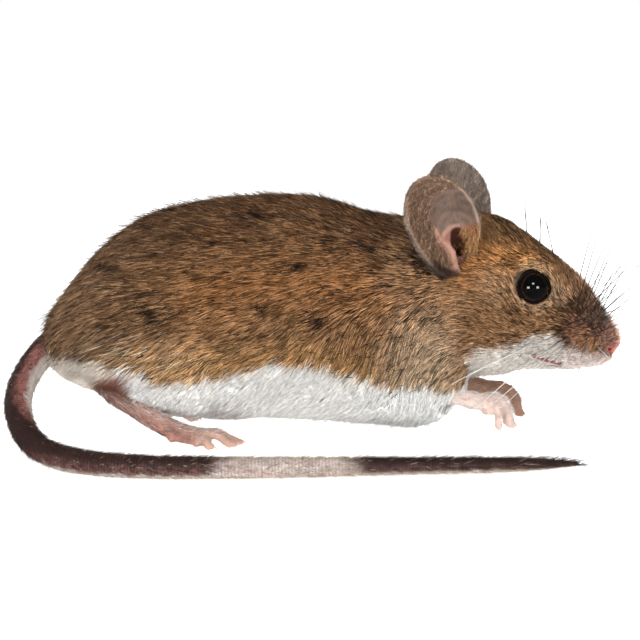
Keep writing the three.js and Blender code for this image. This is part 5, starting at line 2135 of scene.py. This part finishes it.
CAMERA_DISTANCE = 240.0
CAMERA_AZIMUTH = math.radians(-6)
CAMERA_ELEVATION = math.radians(7)
CAMERA_ROLL = math.radians(-1)
CAMERA_TARGET = vec(0, 0, 17.25)
CAMERA_LENS = 86.4
CAMERA_SENSOR = 36
CAMERA_CLIP = 0.01
ca, sa = math.cos(CAMERA_AZIMUTH), math.sin(CAMERA_AZIMUTH)
ce, se = math.cos(CAMERA_ELEVATION), math.sin(CAMERA_ELEVATION)
level_right, level_up = vec(ca, sa, 0), vec(-sa * se, ca * se, ce)
view_back = vec(sa * ce, -ca * ce, se)
view_right = level_right * math.cos(CAMERA_ROLL) + level_up * math.sin(CAMERA_ROLL)
view_up = level_up * math.cos(CAMERA_ROLL) - level_right * math.sin(CAMERA_ROLL)


def axes_matrix(right, up, back, at):
    """The placement of a camera or light from its three directions and its drawing place."""
    m = Matrix.Identity(4)
    for k, axis in enumerate((right, up, back, to_world(at))):
        for row in range(3):
            m[row][k] = float(axis[row])
    return m


camera = bpy.data.objects.new("camera", bpy.data.cameras.new("camera"))
camera.data.lens = CAMERA_LENS
camera.data.sensor_width = CAMERA_SENSOR
camera.data.clip_start = CAMERA_CLIP
camera_place = CAMERA_TARGET + view_back * CAMERA_DISTANCE
camera.matrix_world = axes_matrix(view_right, view_up, view_back, camera_place)
bpy.context.scene.collection.objects.link(camera)
bpy.context.scene.camera = camera

# ---- Lights and stage ----


def softbox(name, direction, distance, width, height, power, in_gloss):
    """A soft light that faces the animal from a direction given as right, up and towards the camera."""
    d = unit(direction[0] * view_right + direction[1] * view_up + direction[2] * view_back)
    light = bpy.data.objects.new(name, bpy.data.lights.new(name, "AREA"))
    light.data.shape = "RECTANGLE"
    light.data.size, light.data.size_y = width / MM_PER_METRE, height / MM_PER_METRE
    light.data.energy = power
    light.visible_glossy = in_gloss
    right = unit(np.cross(vec(0, 0, 1), d))
    light.matrix_world = axes_matrix(right, np.cross(d, right), d, CAMERA_TARGET + d * distance)
    bpy.context.scene.collection.objects.link(light)


# Each softbox: its direction, distance, width, height, power, and whether the wet eyes mirror it.
SOFTBOXES = {
    "box_left": ((-0.52, -0.1, 0.85), 420, 130, 150, 0.84, True),
    "box_right": ((0.55, -0.06, 0.83), 420, 120, 130, 0.68, True),
    "box_top": ((0.05, 0.42, 0.9), 420, 100, 80, 0.34, True),
    "overhead": ((0.0, 1.0, 0.05), 600, 700, 500, 1.3, False),
    "back_left": ((-0.6, 0.3, -0.74), 600, 300, 300, 0.47, True),
    "back_right": ((0.6, 0.3, -0.74), 600, 300, 300, 0.47, True),
}
for name, settings in SOFTBOXES.items():
    softbox(name, *settings)

WORLD_FILL = 0.8
WORLD_IN_GLOSS = 0.04
world = bpy.data.worlds.new("studio")
bpy.context.scene.world = world
world.use_nodes = True
background = world.node_tree.nodes["Background"]
background.inputs["Color"].default_value = (1, 1, 1, 1)
path = world.node_tree.nodes.new("ShaderNodeLightPath")
dimmed = world.node_tree.nodes.new("ShaderNodeMapRange")
dimmed.inputs["To Min"].default_value = WORLD_FILL
dimmed.inputs["To Max"].default_value = WORLD_IN_GLOSS
seen = world.node_tree.nodes.new("ShaderNodeMath")
seen.operation = "MAXIMUM"
world.node_tree.links.new(path.outputs["Is Glossy Ray"], dimmed.inputs["Value"])
world.node_tree.links.new(dimmed.outputs["Result"], seen.inputs[0])
world.node_tree.links.new(path.outputs["Is Camera Ray"], seen.inputs[1])
world.node_tree.links.new(seen.outputs[0], background.inputs["Strength"])

FLOOR_HALF = 3.0
FLOOR_HEIGHT = -0.00002
PAPER_GLOW = 0.95
PAPER_IN_GLOSS = 0.1
corners = [(x * FLOOR_HALF, y * FLOOR_HALF, FLOOR_HEIGHT) for x, y in ((-1, -1), (1, -1), (1, 1), (-1, 1))]
floor_mesh = bpy.data.meshes.new("floor")
floor_mesh.from_pydata(corners, [], [(0, 1, 2, 3)])
floor = bpy.data.objects.new("floor", floor_mesh)
bpy.context.scene.collection.objects.link(floor)
paper = Nodes("floor_paper")
grain = paper.ramp(paper.noise(900.0, 2.0), ((0.3, (0.93, 0.93, 0.93)), (0.7, (0.95, 0.95, 0.95))))
# The paper glows like a light table, and is nearly dark where the wet eyes mirror it.
seen_direct = paper.math("SUBTRACT", 1.0, paper.add("ShaderNodeLightPath").outputs["Is Glossy Ray"])
glow = paper.math("MULTIPLY", seen_direct, PAPER_GLOW)
mirrored = paper.math("MULTIPLY_ADD", seen_direct, 1 - PAPER_IN_GLOSS, PAPER_IN_GLOSS)
paper.finish(Base_Color=paper.mix(grain, mirrored), Roughness=0.9, Specular_IOR_Level=0.0,
             Emission_Color=(1, 1, 1, 1), Emission_Strength=glow)
floor_mesh.materials.append(paper.material)
bpy.context.scene.view_settings.view_transform = "Standard"
